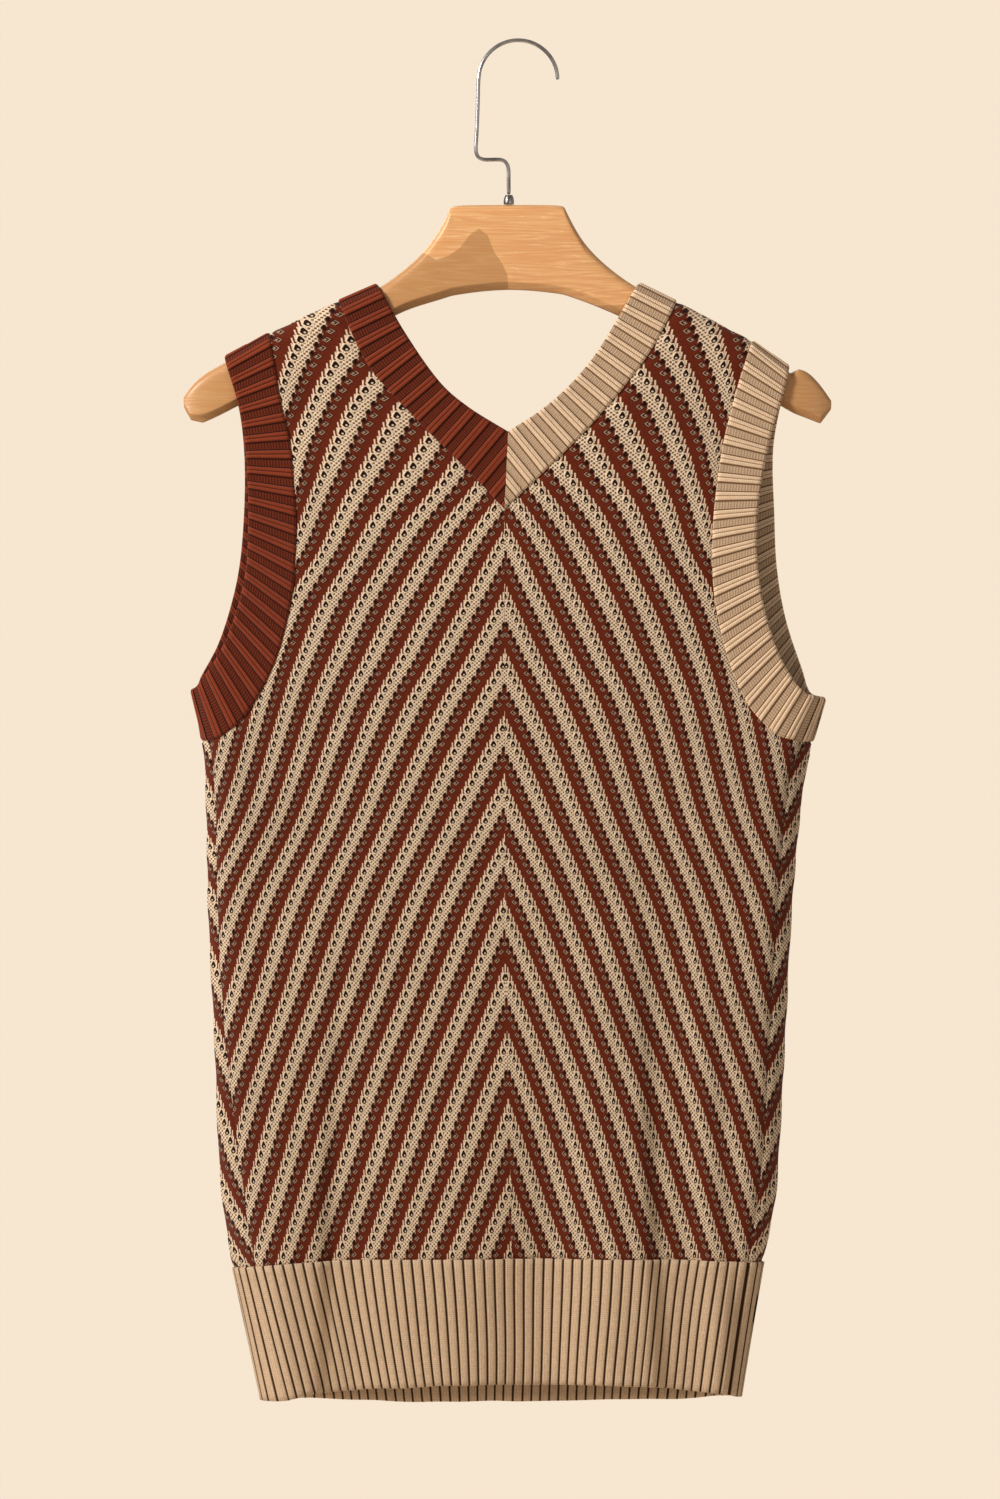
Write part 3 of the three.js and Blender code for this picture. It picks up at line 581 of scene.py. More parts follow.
@dataclass(frozen=True)
class ChevronChart:
    """Where the slanting stripes run: the stripe number on the centre line, and the stripes'
    spacing near the centre line, halfway out, and at the side."""

    reach: float = 162.5
    wales: float = 16.0
    courses: float = 32.0
    # height from which stripe rows are counted evenly upwards, and their height
    even_above: float = -325.0
    even_height: float = 43.9
    chart: Chart = Chart(
        ("z", "stripe", "near", "middle", "far"),
        (
            (-175.5, 4.45, 35.1, 36.4, 35.1),
            (-201.5, 5.07, 32.5, 33.8, 27.3),
            (-234.0, 5.96, 28.6, 31.9, 18.9),
            (-260.0, 6.84, 23.4, 29.9, 20.2),
            (-287.3, 7.71, 19.5, 28.0, 15.6),
            (-325.0, 9.04, 20.5, 23.1, 17.9),
            (-364.0, 10.0, 22.1, 23.1, 20.8),
            (-403.0, 10.98, 21.8, 22.1, 19.5),
            (-429.0, 11.62, 23.1, 21.1, 17.2),
            (-494.0, 13.23, 21.8, 19.5, 16.6),
            (-559.0, 14.92, 20.2, 19.8, 17.9),
            (-624.0, 16.42, 19.5, 19.3, 17.9),
            (-689.7, 17.97, 19.2, 19.0, 17.9),
            (-737.1, 19.00, 18.9, 18.7, 17.6),
            (-780.0, 20.00, 18.5, 18.2, 17.6),
            (-800.0, 20.45, 18.4, 18.1, 17.5),
        ),
    )

    # how many wales each half lags behind, near the centre line and at the side
    lag: Chart = Chart(
        ("z", "left_near", "left_far", "right_near", "right_far"),
        (
            (-175.0, 0.0, 0.0, -6.5, -2.0),
            (-221.0, 0.0, 0.0, -6.0, -2.0),
            (-299.0, 0.0, 0.0, -4.0, -1.5),
            (-325.0, 0.0, 0.0, -2.6, 0.4),
            (-364.0, 0.0, -0.4, -1.2, 2.3),
            (-429.0, 0.0, -1.0, 0.5, 3.5),
            (-481.0, -0.4, -2.4, 1.5, 4.9),
            (-510.0, -0.3, -2.2, 2.2, 6.8),
            (-604.0, 0.3, -1.2, 0.6, 11.0),
            (-637.0, 0.7, -0.8, 0.5, 11.8),
            (-731.0, 2.0, 0.6, 3.3, 12.8),
            (-757.0, 2.0, 0.6, 4.8, 12.8),
            (-800.0, 2.0, 0.6, 5.5, 12.8),
        ),
    )

    def lattice(
        self, sign: np.ndarray, out: np.ndarray, z: np.ndarray
    ) -> tuple[np.ndarray, np.ndarray]:
        """Wale and course of the knitting at some places.

        Args:
            sign: -1 on the left half, 1 on the right one.
            out: distance across from the centre line, and on round the fold.
            z: heights.

        Returns:
            Wales counted outwards and courses counted downwards.
        """
        near = 1 / self.chart.read("near", "z", z)
        middle = 1 / self.chart.read("middle", "z", z)
        far = 1 / self.chart.read("far", "z", z)
        half = self.reach / 2
        bend = (far + near - 2 * middle) / (2 * half * half)
        lean = (middle - near) / half - bend * half
        crossed = near * out + lean * out**2 / 2 + bend * out**3 / 3
        stripe = self.chart.read("stripe", "z", z)
        even = self.chart.read("stripe", "z", self.even_above)
        row = np.where(z > self.even_above, even - (z - self.even_above) / self.even_height, stripe)
        share = out / self.reach
        left = self.lag.read("left_near", "z", z) * (1 - share)
        left = left + self.lag.read("left_far", "z", z) * share
        right = self.lag.read("right_near", "z", z) * (1 - share)
        right = right + self.lag.read("right_far", "z", z) * share
        late = np.where(sign < 0, left, right)
        return self.wales * (row - stripe + crossed) + late, self.courses * row


@dataclass
class ClothSheet:
    """A sheet of cloth as a mesh of four-sided cells, which becomes a thin closed wall."""

    points: np.ndarray
    normals: np.ndarray
    faces: np.ndarray
    stitch: np.ndarray
    raised: np.ndarray
    sunk: np.ndarray
    # what the right-hand half reads on the centre line, where the halves meet
    other: np.ndarray | None = None

    def closed(self, name: str) -> bpy.types.Object:
        """Makes the closed wall, drawn in by half a seam's gap and round at its rim.

        Args:
            name: the new object's name.

        Returns:
            The object, with each point's wale and course kept on the mesh.
        """
        n = len(self.points)
        faces = self.faces
        k = faces[len(faces) // 2]
        across = np.cross(
            self.points[k[1]] - self.points[k[0]], self.points[k[2]] - self.points[k[0]]
        )
        if across @ self.normals[k[0]] < 0:
            faces = faces[:, ::-1]
        start = faces.reshape(-1)
        end = np.roll(faces, -1, axis=1).reshape(-1)
        free = ~np.isin(start * n + end, end * n + start)
        a, b = start[free], end[free]
        along = self.points[b] - self.points[a]
        inward = np.zeros((n, 3))
        count = np.zeros(n)
        for k in (a, b):
            direction = np.cross(self.normals[k], along)
            length = np.linalg.norm(direction, axis=1, keepdims=True)
            np.add.at(inward, k, direction / np.maximum(length, 1e-9))
            np.add.at(count, k, 1)
        rim = np.nonzero(count)[0]
        length = np.linalg.norm(inward[rim], axis=1, keepdims=True)
        inward[rim] /= np.maximum(length, CORNER_LEAST)
        moved = self.points + inward * (SEAM_GAP / 2)
        outer = moved + self.normals * self.raised[:, None]
        inner = moved - self.normals * (CLOTH + self.sunk)[:, None]
        middle = (outer[rim] + inner[rim]) / 2 - inward[rim] * EDGE_ROUND
        slot = np.full(n, -1)
        slot[rim] = 2 * n + np.arange(len(rim))
        quads = np.concatenate([
            faces,
            faces[:, ::-1] + n,
            np.stack([b, a, slot[a], slot[b]], axis=1),
            np.stack([slot[b], slot[a], a + n, b + n], axis=1),
        ])
        read = np.concatenate([self.stitch, self.stitch, self.stitch[rim]])[quads]
        if self.other is not None:
            right = read[:, :, 2].sum(axis=1) >= 0
            other = np.concatenate([self.other, self.other, self.other[rim]])
            read[right] = other[quads[right]]
        return mesh_object(name, np.concatenate([outer, inner, middle]), quads, read)


def mesh_object(
    name: str, points: np.ndarray, quads: np.ndarray, read: np.ndarray
) -> bpy.types.Object:
    """A smooth mesh object from points in millimetres.

    Args:
        name: the object's name.
        points: the points, x from the shank.
        quads: four-sided faces.
        read: wale, course and half at each corner of each face.

    Returns:
        The new object, at the origin.
    """
    mesh = bpy.data.meshes.new(name)
    placed = (points + np.array([SHANK_X, 0, 0])) * MM
    mesh.from_pydata(placed.tolist(), [], quads.tolist())
    kept = mesh.attributes.new(STITCH, "FLOAT_VECTOR", "CORNER")
    kept.data.foreach_set("vector", read.astype(np.float32).reshape(-1))
    mesh.polygons.foreach_set("use_smooth", np.ones(len(mesh.polygons), dtype=bool))
    mesh.update()
    made = bpy.data.objects.new(name, mesh)
    bpy.context.scene.collection.objects.link(made)
    return made


def grid_faces(index: np.ndarray) -> np.ndarray:
    """Four-sided faces between the rows and columns of a grid.

    Args:
        index: the number of the point at each row and column.

    Returns:
        The point numbers of each face, one row each.
    """
    corners = (index[:-1, :-1], index[:-1, 1:], index[1:, 1:], index[1:, :-1])
    return np.stack([c.reshape(-1) for c in corners], axis=1)


@dataclass
class Bench:
    """A node tree in the making, with short calls for its parts."""

    tree: bpy.types.NodeTree

    def node(self, kind: str, **settings: object) -> bpy.types.Node:
        """Adds a node and sets some of its properties.

        Args:
            kind: Blender's name for the node's type.
            settings: its properties by name.

        Returns:
            The node.
        """
        made = self.tree.nodes.new(kind)
        for key, value in settings.items():
            setattr(made, key, value)
        return made

    def feed(self, socket: bpy.types.NodeSocket, value: object) -> None:
        """Links an output to a socket, or sets the socket's own value.

        Args:
            socket: the input to feed.
            value: an output, a number or a colour.
        """
        if isinstance(value, bpy.types.NodeSocket):
            self.tree.links.new(value, socket)
        else:
            socket.default_value = value

    def maths(self, how: str, *values: object) -> bpy.types.NodeSocket:
        """One Math node.

        Args:
            how: the node's operation.
            values: outputs or numbers, in the order of its inputs.

        Returns:
            Its output.
        """
        made = self.node("ShaderNodeMath", operation=how)
        for socket, value in zip(made.inputs, values):
            self.feed(socket, value)
        return made.outputs[0]

    def times(self, a: object, b: object) -> bpy.types.NodeSocket:
        """Multiplies a by b."""
        return self.maths("MULTIPLY", a, b)

    def plus(self, a: object, b: object) -> bpy.types.NodeSocket:
        """Adds b to a."""
        return self.maths("ADD", a, b)

    def less(self, a: object, b: object) -> bpy.types.NodeSocket:
        """Takes b from a."""
        return self.maths("SUBTRACT", a, b)

    def over(self, a: object, b: object) -> bpy.types.NodeSocket:
        """Divides a by b."""
        return self.maths("DIVIDE", a, b)

    def most(self, a: object, b: object) -> bpy.types.NodeSocket:
        """The greater of a and b."""
        return self.maths("MAXIMUM", a, b)

    def times_plus(self, a: object, b: object, c: object) -> bpy.types.NodeSocket:
        """Multiplies a by b, then adds c."""
        return self.maths("MULTIPLY_ADD", a, b, c)

    def fract(self, a: object) -> bpy.types.NodeSocket:
        """Keeps what is past the last whole number."""
        return self.maths("FRACT", a)

    def to_and_fro(self, a: object, b: object) -> bpy.types.NodeSocket:
        """Folds a to and fro between 0 and b."""
        return self.maths("PINGPONG", a, b)

    def step(self, value: object, low: float, high: float) -> bpy.types.NodeSocket:
        """A smooth step between two values, either of which may be the greater.

        Args:
            value: what is measured.
            low: where the step is 0.
            high: where it is 1.

        Returns:
            The step's output.
        """
        made = self.node("ShaderNodeMapRange", interpolation_type="SMOOTHSTEP")
        if low > high:
            made.inputs["To Min"].default_value, made.inputs["To Max"].default_value = 1, 0
            low, high = high, low
        self.feed(made.inputs["Value"], value)
        made.inputs["From Min"].default_value = low
        made.inputs["From Max"].default_value = high
        return made.outputs["Result"]

    def blend(self, share: object, low: object, high: object) -> bpy.types.NodeSocket:
        """A colour between two others.

        Args:
            share: 0 for the first colour, 1 for the second.
            low: the first colour.
            high: the second colour.

        Returns:
            The colour's output.
        """
        made = self.node("ShaderNodeMix", data_type="RGBA")
        self.feed(made.inputs[0], share)
        self.feed(made.inputs[6], low)
        self.feed(made.inputs[7], high)
        return made.outputs[2]

    def tint(self, colour: object, by: object) -> bpy.types.NodeSocket:
        """A colour made lighter or darker.

        Args:
            colour: the colour.
            by: the factor.

        Returns:
            The new colour's output.
        """
        made = self.node("ShaderNodeVectorMath", operation="SCALE")
        self.feed(made.inputs[0], colour[:3] if isinstance(colour, tuple) else colour)
        self.feed(made.inputs["Scale"], by)
        return made.outputs[0]

    def noise(self, vector: object, scale: float, detail: float = 3.0) -> bpy.types.NodeSocket:
        """A soft noise with a mean of about a half.

        Args:
            vector: where it is read.
            scale: waves per metre.
            detail: how many finer waves it has.

        Returns:
            The noise's output.
        """
        made = self.node("ShaderNodeTexNoise")
        self.feed(made.inputs["Vector"], vector)
        made.inputs["Scale"].default_value = scale
        made.inputs["Detail"].default_value = detail
        return made.outputs[0]

    def near(self, value: object, centre: float, half: float) -> bpy.types.NodeSocket:
        """1 within a distance of a centre, falling softly to 0 at its edge."""
        away = self.maths("ABSOLUTE", self.less(value, centre))
        return self.step(away, half * 1.15, half * 0.75)

    def spot(
        self, x: object, y: object, centre: tuple[float, float], half: tuple[float, float]
    ) -> bpy.types.NodeSocket:
        """Distance from the centre of an oval spot.

        Args:
            x: places across it.
            y: places up it.
            centre: its centre.
            half: half its width and height.

        Returns:
            The distance, 1 at the spot's edge.
        """
        dx = self.over(self.less(x, centre[0]), half[0])
        dy = self.over(self.less(y, centre[1]), half[1])
        return self.length(dx, dy)

    def length(self, x: object, y: object) -> bpy.types.NodeSocket:
        """Length of a line, from its run across and its rise."""
        return self.maths("SQRT", self.plus(self.times(x, x), self.times(y, y)))


def colour(red: float, green: float, blue: float) -> tuple[float, float, float, float]:
    """Turns a screen colour into the linear colour that shaders use.

    Args:
        red: red, 0 to 255.
        green: green, 0 to 255.
        blue: blue, 0 to 255.

    Returns:
        The linear red, green and blue, and 1 for opaque.
    """
    shares = (red / 255, green / 255, blue / 255)
    line = [v / 12.92 if v <= 0.04045 else ((v + 0.055) / 1.055) ** 2.4 for v in shares]
    return line[0], line[1], line[2], 1.0


def new_material(name: str) -> tuple[bpy.types.Material, Bench, bpy.types.Node]:
    """Starts a material.

    Args:
        name: the material's name.

    Returns:
        The material, the bench for its nodes, and its shader.
    """
    made = bpy.data.materials.new(name)
    made.use_nodes = True
    return made, Bench(made.node_tree), made.node_tree.nodes["Principled BSDF"]


def new_group(name: str, **sockets: str) -> tuple[bpy.types.NodeTree, Bench]:
    """Starts a node group.

    Args:
        name: the group's name.
        sockets: the way and kind of each socket, such as "INPUT Float", by its name.

    Returns:
        The group and the bench for its nodes.
    """
    tree = bpy.data.node_groups.new(name, "ShaderNodeTree")
    for socket, what in sockets.items():
        way, kind = what.split()
        tree.interface.new_socket(socket, in_out=way, socket_type=f"NodeSocket{kind}")
    return tree, Bench(tree)


@cache
def yarn_group() -> bpy.types.NodeTree:
    """The look that all the yarns share: heathered colour and the fuzz of loose fibres.

    Returns:
        A node group with a colour in, and a colour and a height out.
    """
    tree, bench = new_group(
        "yarn_heather",
        Yarn="INPUT Color",
        Heather="INPUT Float",
        Colour="OUTPUT Color",
        Height="OUTPUT Float",
    )
    given = bench.node("NodeGroupInput")
    place = bench.node("ShaderNodeTexCoord").outputs["Object"]
    fibres = bench.noise(place, 1900.0, 2.0)
    flecks = bench.noise(place, 620.0, 3.0)
    clouds = bench.noise(place, 26.0, 3.0)
    mixed = bench.plus(bench.times(fibres, 0.5), bench.times(flecks, 0.5))
    spread = bench.times(bench.less(mixed, 0.5), given.outputs["Heather"])
    broad = bench.times(bench.less(clouds, 0.5), 0.22)
    factor = bench.plus(1.0, bench.plus(spread, broad))
    result = bench.node("NodeGroupOutput")
    bench.feed(result.inputs["Colour"], bench.tint(given.outputs["Yarn"], factor))
    bench.feed(result.inputs["Height"], bench.plus(fibres, bench.times(flecks, 0.7)))
    return tree


@cache
def stitch_group() -> bpy.types.NodeTree:
    """Columns of V-shaped knit stitches, from a wale and a course.

    Returns:
        A node group with Wale and Course in, and a Height of about 0 to 1 out.
    """
    tree, bench = new_group(
        "knit_stitches", Wale="INPUT Float", Course="INPUT Float", Height="OUTPUT Float"
    )
    given = bench.node("NodeGroupInput")
    across = bench.fract(given.outputs["Wale"])
    leg = bench.maths("ABSOLUTE", bench.less(across, 0.5))
    slanted = bench.plus(given.outputs["Course"], bench.times(leg, 1.3))
    loop = bench.to_and_fro(slanted, 0.5)
    ridge = bench.step(loop, 0.05, 0.38)
    valley = bench.step(leg, 0.0, 0.16)
    side = bench.step(leg, 0.5, 0.36)
    result = bench.node("NodeGroupOutput")
    height = bench.times(ridge, bench.times(valley, side))
    bench.feed(result.inputs["Height"], height)
    return tree


@dataclass(frozen=True)
class WoolSurface:
    """What the shader of every yarn shares: dry, soft and slightly hairy."""

    roughness: float = 0.93
    sheen: float = 0.08
    sheen_roughness: float = 0.45
    specular: float = 0.12

    def material(self, name: str) -> tuple[bpy.types.Material, Bench, bpy.types.Node]:
        """Starts a yarn's material.

        Args:
            name: the material's name.

        Returns:
            The material, the bench for its nodes, and its shader.
        """
        made, bench, shader = new_material(name)
        shader.inputs["Roughness"].default_value = self.roughness
        shader.inputs["Sheen Weight"].default_value = self.sheen
        shader.inputs["Sheen Roughness"].default_value = self.sheen_roughness
        shader.inputs["Specular IOR Level"].default_value = self.specular
        return made, bench, shader


def knit_place(bench: Bench) -> bpy.types.Node:
    """Reads the wale, course and half kept on a cloth's mesh.

    Args:
        bench: the bench of the cloth's material.

    Returns:
        A node with the three as its outputs.
    """
    kept = bench.node("ShaderNodeAttribute", attribute_name=STITCH)
    split = bench.node("ShaderNodeSeparateXYZ")
    bench.feed(split.inputs[0], kept.outputs["Vector"])
    return split


def grouped(bench: Bench, tree: bpy.types.NodeTree, **values: object) -> bpy.types.Node:
    """Places a node group.

    Args:
        bench: the bench on which it is placed.
        tree: the group.
        values: outputs or values for its inputs, by name.

    Returns:
        The group's node.
    """
    made = bench.node("ShaderNodeGroup", node_tree=tree)
    for key, value in values.items():
        bench.feed(made.inputs[key], value)
    return made


def relief(bench: Bench, shader: bpy.types.Node, height: object, depth: float) -> None:
    """Feeds a height to a shader as a bump.

    Args:
        bench: the material's bench.
        shader: its shader.
        height: the height, about 0 to 1.
        depth: how deep a height of 1 is, in metres.
    """
    bump = bench.node("ShaderNodeBump")
    bump.inputs["Strength"].default_value = 1.0
    bump.inputs["Distance"].default_value = depth
    bench.feed(bump.inputs["Height"], height)
    bench.feed(shader.inputs["Normal"], bump.outputs["Normal"])


@dataclass(frozen=True)
class ChevronKnit:
    """Two-colour lace knitting in slanting stripes, with an eyelet every two wales and four
    courses along each pale stripe's upper border, and a small flower along the lower one."""

    pale: tuple[float, ...] = colour(247, 221, 190)
    rust: tuple[float, ...] = colour(108, 40, 19)
    # the next colour is painted shade: the dark seen in the eyelets, in the spots near the flowers and
    # round the flowers
    lace_shade: tuple[float, ...] = colour(34, 12, 4)
    # the next colour is painted shade in the holes of the fine net
    net: tuple[float, ...] = colour(96, 58, 34)
    wales: float = 16.0
    courses: float = 32.0
    cell: float = 4.0
    surface: WoolSurface = WoolSurface()

    def material(self) -> bpy.types.Material:
        """Builds the material from each point's wale and course.

        Returns:
            The chevron's material.
        """
        made, bench, shader = self.surface.material("chevron_knit")
        wale, course, half = knit_place(bench).outputs
        row = bench.maths("FLOOR", bench.over(course, self.cell))
        down = bench.fract(bench.over(course, self.cell))
        level = bench.times_plus(row, self.cell, self.cell / 2)
        stepped = self._across(bench, wale, level)

        # the pale stripe, then its eyelets, painted as dark shade in place of holes, with the loop
        # round each and the thread across it
        body = bench.times(bench.step(stepped, 0.75, 1.05), bench.step(stepped, 8.0, 7.4))
        narrow = bench.step(half, -1.0, 1.0)
        width = bench.times_plus(narrow, -0.22, 1.36)
        arched = bench.most(bench.less(0.66, down), 0.0)
        dx = bench.over(bench.less(stepped, 2.1), width)
        dx = bench.times(dx, bench.times_plus(arched, 1.6, 1.0))
        dy = bench.over(bench.less(down, 0.56), 0.42)
        far = bench.length(dx, dy)
        eyelet = bench.step(far, 1.05, 0.88)
        loop = bench.times(bench.step(far, 0.98, 1.1), bench.step(far, 1.7, 1.45))
        thread = bench.step(bench.spot(stepped, down, (2.2, 0.72), (0.42, 0.12)), 1.15, 0.75)

        # pale teeth that reach into the rust above
        high = bench.times(bench.near(stepped, 15.2, 0.34), bench.step(down, 0.30, 0.45))
        side = bench.times(bench.near(stepped, 0.5, 0.36), bench.step(down, 0.62, 0.5))
        spikes = bench.most(high, side)

        # the small flower below, open on one side, with its pip, the painted shade round it and the
        # dark spots near it, painted in the eyelets' shade colour
        flat = bench.over(bench.less(stepped, 10.2), 1.6)
        tall = bench.over(bench.less(down, 0.54), 0.36)
        diamond = bench.plus(bench.maths("ABSOLUTE", flat), bench.maths("ABSOLUTE", tall))
        open_side = bench.step(bench.plus(flat, tall), -0.75, -0.35)
        ring = bench.times(bench.step(diamond, 0.66, 0.8), bench.step(diamond, 1.12, 0.96))
        flower = bench.times(ring, open_side)
        shade = bench.times(bench.step(diamond, 1.6, 1.1), 0.55)
        pip = bench.step(bench.spot(stepped, down, (9.95, 0.55), (0.45, 0.11)), 1.2, 0.7)
        blot = bench.step(bench.spot(stepped, down, (8.7, 0.22), (0.75, 0.24)), 1.2, 0.7)
        speck = bench.step(bench.spot(stepped, down, (6.9, 0.94), (0.65, 0.12)), 1.2, 0.7)
        dark = bench.most(blot, speck)

        # the fine net inside the pale stripe, with shade painted into its holes
        checks = bench.times(
            bench.maths("COSINE", bench.times(wale, math.pi)),
            bench.maths("COSINE", bench.times(course, math.pi)),
        )
        inner = bench.times(bench.step(stepped, 3.1, 3.7), bench.step(stepped, 8.3, 7.9))
        holes = bench.times(bench.step(checks, 0.05, 0.5), inner)

        stitches = grouped(bench, stitch_group(), Wale=wale, Course=course).outputs["Height"]
        # the stitches' low parts are painted darker and their tops lighter: painted shade and light on
        # the knit's relief
        ground = bench.tint(self.rust, bench.times_plus(stitches, 0.34, 0.78))
        ground = bench.blend(shade, ground, self.lace_shade)
        knit = bench.tint(self.pale, bench.times_plus(stitches, 0.20, 0.86))
        cloth = bench.blend(body, ground, knit)
        # painted shade in the fine net's holes
        cloth = bench.blend(bench.times(holes, 0.9), cloth, self.net)
        cloth = bench.blend(bench.times(loop, 0.95), cloth, self.pale)
        cloth = bench.blend(bench.times(flower, 0.48), cloth, self.pale)
        cloth = bench.blend(bench.times(spikes, 0.9), cloth, self.pale)
        # painted shade in the eyelets and in the dark spots near the flowers
        cloth = bench.blend(bench.most(eyelet, dark), cloth, self.lace_shade)
        dots = bench.most(bench.times(thread, 0.75), bench.times(pip, 0.4))
        cloth = bench.blend(dots, cloth, self.pale)
        yarn = grouped(bench, yarn_group(), Yarn=cloth, Heather=1.1)
        bench.feed(shader.inputs["Base Color"], yarn.outputs["Colour"])

        proud = bench.most(loop, bench.most(flower, spikes))
        deep = bench.most(eyelet, bench.most(dark, holes))
        height = bench.times_plus(proud, 0.9, bench.times(body, 0.45))
        height = bench.less(height, bench.times(deep, 1.1))
        height = bench.times_plus(stitches, 0.30, height)
        height = bench.times_plus(yarn.outputs["Height"], 0.25, height)
        relief(bench, shader, height, 0.0006)
        return made

    def _across(self, bench: Bench, wale: object, course: object) -> bpy.types.NodeSocket:
        """Wales from the last stripe's upper border.

        Args:
            bench: the material's bench.
            wale: wales outwards.
            course: courses downwards.

        Returns:
            The count, from 0 to a whole repeat.
        """
        run = bench.over(course, self.courses)
        out = bench.over(wale, self.wales)
        start = bench.plus(run, 2.0 / self.wales)
        phase = bench.fract(bench.less(start, out))
        return bench.times(phase, self.wales)


@dataclass(frozen=True)
class RibKnit:
    """Plain yarn in ribs: each rib has a few columns of stitches, with shaded grooves."""

    name: str
    yarn: tuple[float, ...]
    # the painted shade in the grooves, in the net's holes and between the stitch columns
    groove_shade: tuple[float, ...]
    # stitch columns in a whole repeat, and the share of it that lies low
    columns: float
    low: float
    # how dark the painted shade in the low part's dotted net is
    net: float
    heather: float = 0.55
    surface: WoolSurface = WoolSurface()

    def material(self) -> bpy.types.Material:
        """Builds the material from each point's repeat and course.

        Returns:
            The ribs' material.
        """
        made, bench, shader = self.surface.material(self.name)
        repeat, course, _ = knit_place(bench).outputs
        t = bench.fract(repeat)
        wale = bench.times(repeat, self.columns)
        stitches = grouped(bench, stitch_group(), Wale=wale, Course=course).outputs["Height"]
        # painted shade in thin lines between the stitch columns
        between = bench.to_and_fro(wale, 0.5)
        lines = bench.step(between, 0.16, 0.02)
        # the stitches' low parts are painted darker and their tops lighter: painted shade and light on
        # the rib's relief
        cloth = bench.tint(self.yarn, bench.times_plus(stitches, 0.26, 0.86))
        if self.low > 0:
            low = bench.times(bench.step(t, 0.0, 0.03), bench.step(t, self.low, self.low - 0.03))
            rungs = bench.maths("COSINE", bench.times(course, 1.4 * math.pi))
            net = bench.times(bench.step(rungs, 0.5, -0.4), self.net)
            net = bench.most(net, self.net * 0.55)
            # painted shade along the borders of the low nets
            seams = bench.most(bench.near(t, 0.0, 0.035), bench.near(t, self.low, 0.035))
            seams = bench.most(seams, bench.near(t, 1.0, 0.035))
            up = bench.times(bench.less(1.0, low), bench.times(lines, 0.72))
            dark = bench.most(bench.times(low, net), bench.most(up, seams))
        else:
            # painted shade in the narrow grooves between the ribs
            edge = bench.to_and_fro(repeat, 0.5)
            deep = bench.step(edge, 0.17, 0.06)
            dark = bench.most(deep, bench.times(lines, 0.16))
        # all of dark is painted shade, blended towards the groove colour
        cloth = bench.blend(dark, cloth, self.groove_shade)
        yarn = grouped(bench, yarn_group(), Yarn=cloth, Heather=self.heather)
        bench.feed(shader.inputs["Base Color"], yarn.outputs["Colour"])
        height = bench.times(stitches, 0.5)
        height = bench.less(height, bench.times(dark, 0.7))
        height = bench.times_plus(yarn.outputs["Height"], 0.3, height)
        relief(bench, shader, height, 0.0004)
        return made


@dataclass(frozen=True)
class BeechWood:
    """Pale oiled wood with long wavy grain, and a darker patch on its left part."""

    light: tuple[float, ...] = colour(236, 180, 122)
    dark: tuple[float, ...] = colour(214, 148, 92)
    line: tuple[float, ...] = colour(242, 200, 150)
    patch: tuple[float, ...] = colour(172, 124, 74)
    roughness: float = 0.42
    coat: float = 0.12
    coat_roughness: float = 0.3
    # how closely the grain and the pores are packed along each axis
    grain: tuple[float, float, float] = (5.0, 26.0, 95.0)
    pore: tuple[float, float, float] = (30.0, 200.0, 900.0)
    # the patch's upper border, from the left
    border: tuple[tuple[float, float], ...] = (
        (-62.0, -134.0),
        (-54.9, -138.0),
        (-47.1, -142.4),
        (-39.0, -140.0),
        (-31.5, -134.6),
        (-25.0, -126.0),
        (-18.9, -122.2),
        (-13.3, -126.8),
        (-9.4, -137.2),
        (-4.0, -145.0),
        (-0.8, -152.0),
        (0.6, -172.0),
    )
    # the heights that the ramp's 0 stands for, and how much more its 1 does
    border_foot: float = -180.0
    border_span: float = 80.0

    def material(self) -> bpy.types.Material:
        """Builds the material on the wood's own coordinates.

        Returns:
            The wood's material.
        """
        made, bench, shader = new_material("beech_wood")
        place = bench.node("ShaderNodeTexCoord").outputs["Object"]
        stretched = []
        for scale in (self.grain, self.pore):
            mapping = bench.node("ShaderNodeMapping")
            mapping.inputs["Scale"].default_value = scale
            bench.feed(mapping.inputs["Vector"], place)
            stretched.append(mapping.outputs[0])
        long = bench.noise(stretched[0], 1.6, 4.0)
        pores = bench.noise(stretched[1], 1.0, 3.0)
        rings = bench.to_and_fro(bench.times(long, 9.0), 0.5)
        bands = bench.step(rings, 0.0, 0.5)
        wood = bench.blend(bench.times(bands, 0.55), self.light, self.dark)
        wood = bench.blend(bench.step(rings, 0.05, 0.0), wood, self.line)
        fleck = bench.step(pores, 0.58, 0.72)
        wood = bench.blend(bench.times(fleck, 0.45), wood, self.dark)

        split = bench.node("ShaderNodeSeparateXYZ")
        bench.feed(split.inputs[0], place)
        x = bench.less(bench.times(split.outputs[0], 1000.0), SHANK_X)
        z = bench.times(split.outputs[2], 1000.0)
        first, last = self.border[0][0], self.border[-1][0]
        share = bench.over(bench.less(x, first), last - first)
        ramp = bench.node("ShaderNodeValToRGB")
        bench.feed(ramp.inputs[0], share)
        stops = ramp.color_ramp.elements
        for i, (at, height) in enumerate(self.border):
            here = (at - first) / (last - first)
            end = i == len(self.border) - 1
            stop = stops[0] if i == 0 else stops[len(stops) - 1] if end else stops.new(here)
            level = (height - self.border_foot) / self.border_span
            stop.position = here
            stop.color = (level, level, level, 1.0)
        top = bench.times_plus(ramp.outputs[0], self.border_span, self.border_foot)
        # darkens the front of the wood's left part below the listed border
        under = bench.step(bench.less(top, z), -0.4, 0.4)
        inside = bench.times(under, bench.step(split.outputs[1], 0.001, -0.001))
        darkened = bench.blend(0.62, wood, self.patch)
        wood = bench.blend(inside, wood, darkened)
        bench.feed(shader.inputs["Base Color"], wood)
        shader.inputs["Roughness"].default_value = self.roughness
        shader.inputs["Coat Weight"].default_value = self.coat
        shader.inputs["Coat Roughness"].default_value = self.coat_roughness
        relief(bench, shader, bench.times_plus(pores, 0.5, rings), 0.00008)
        return made


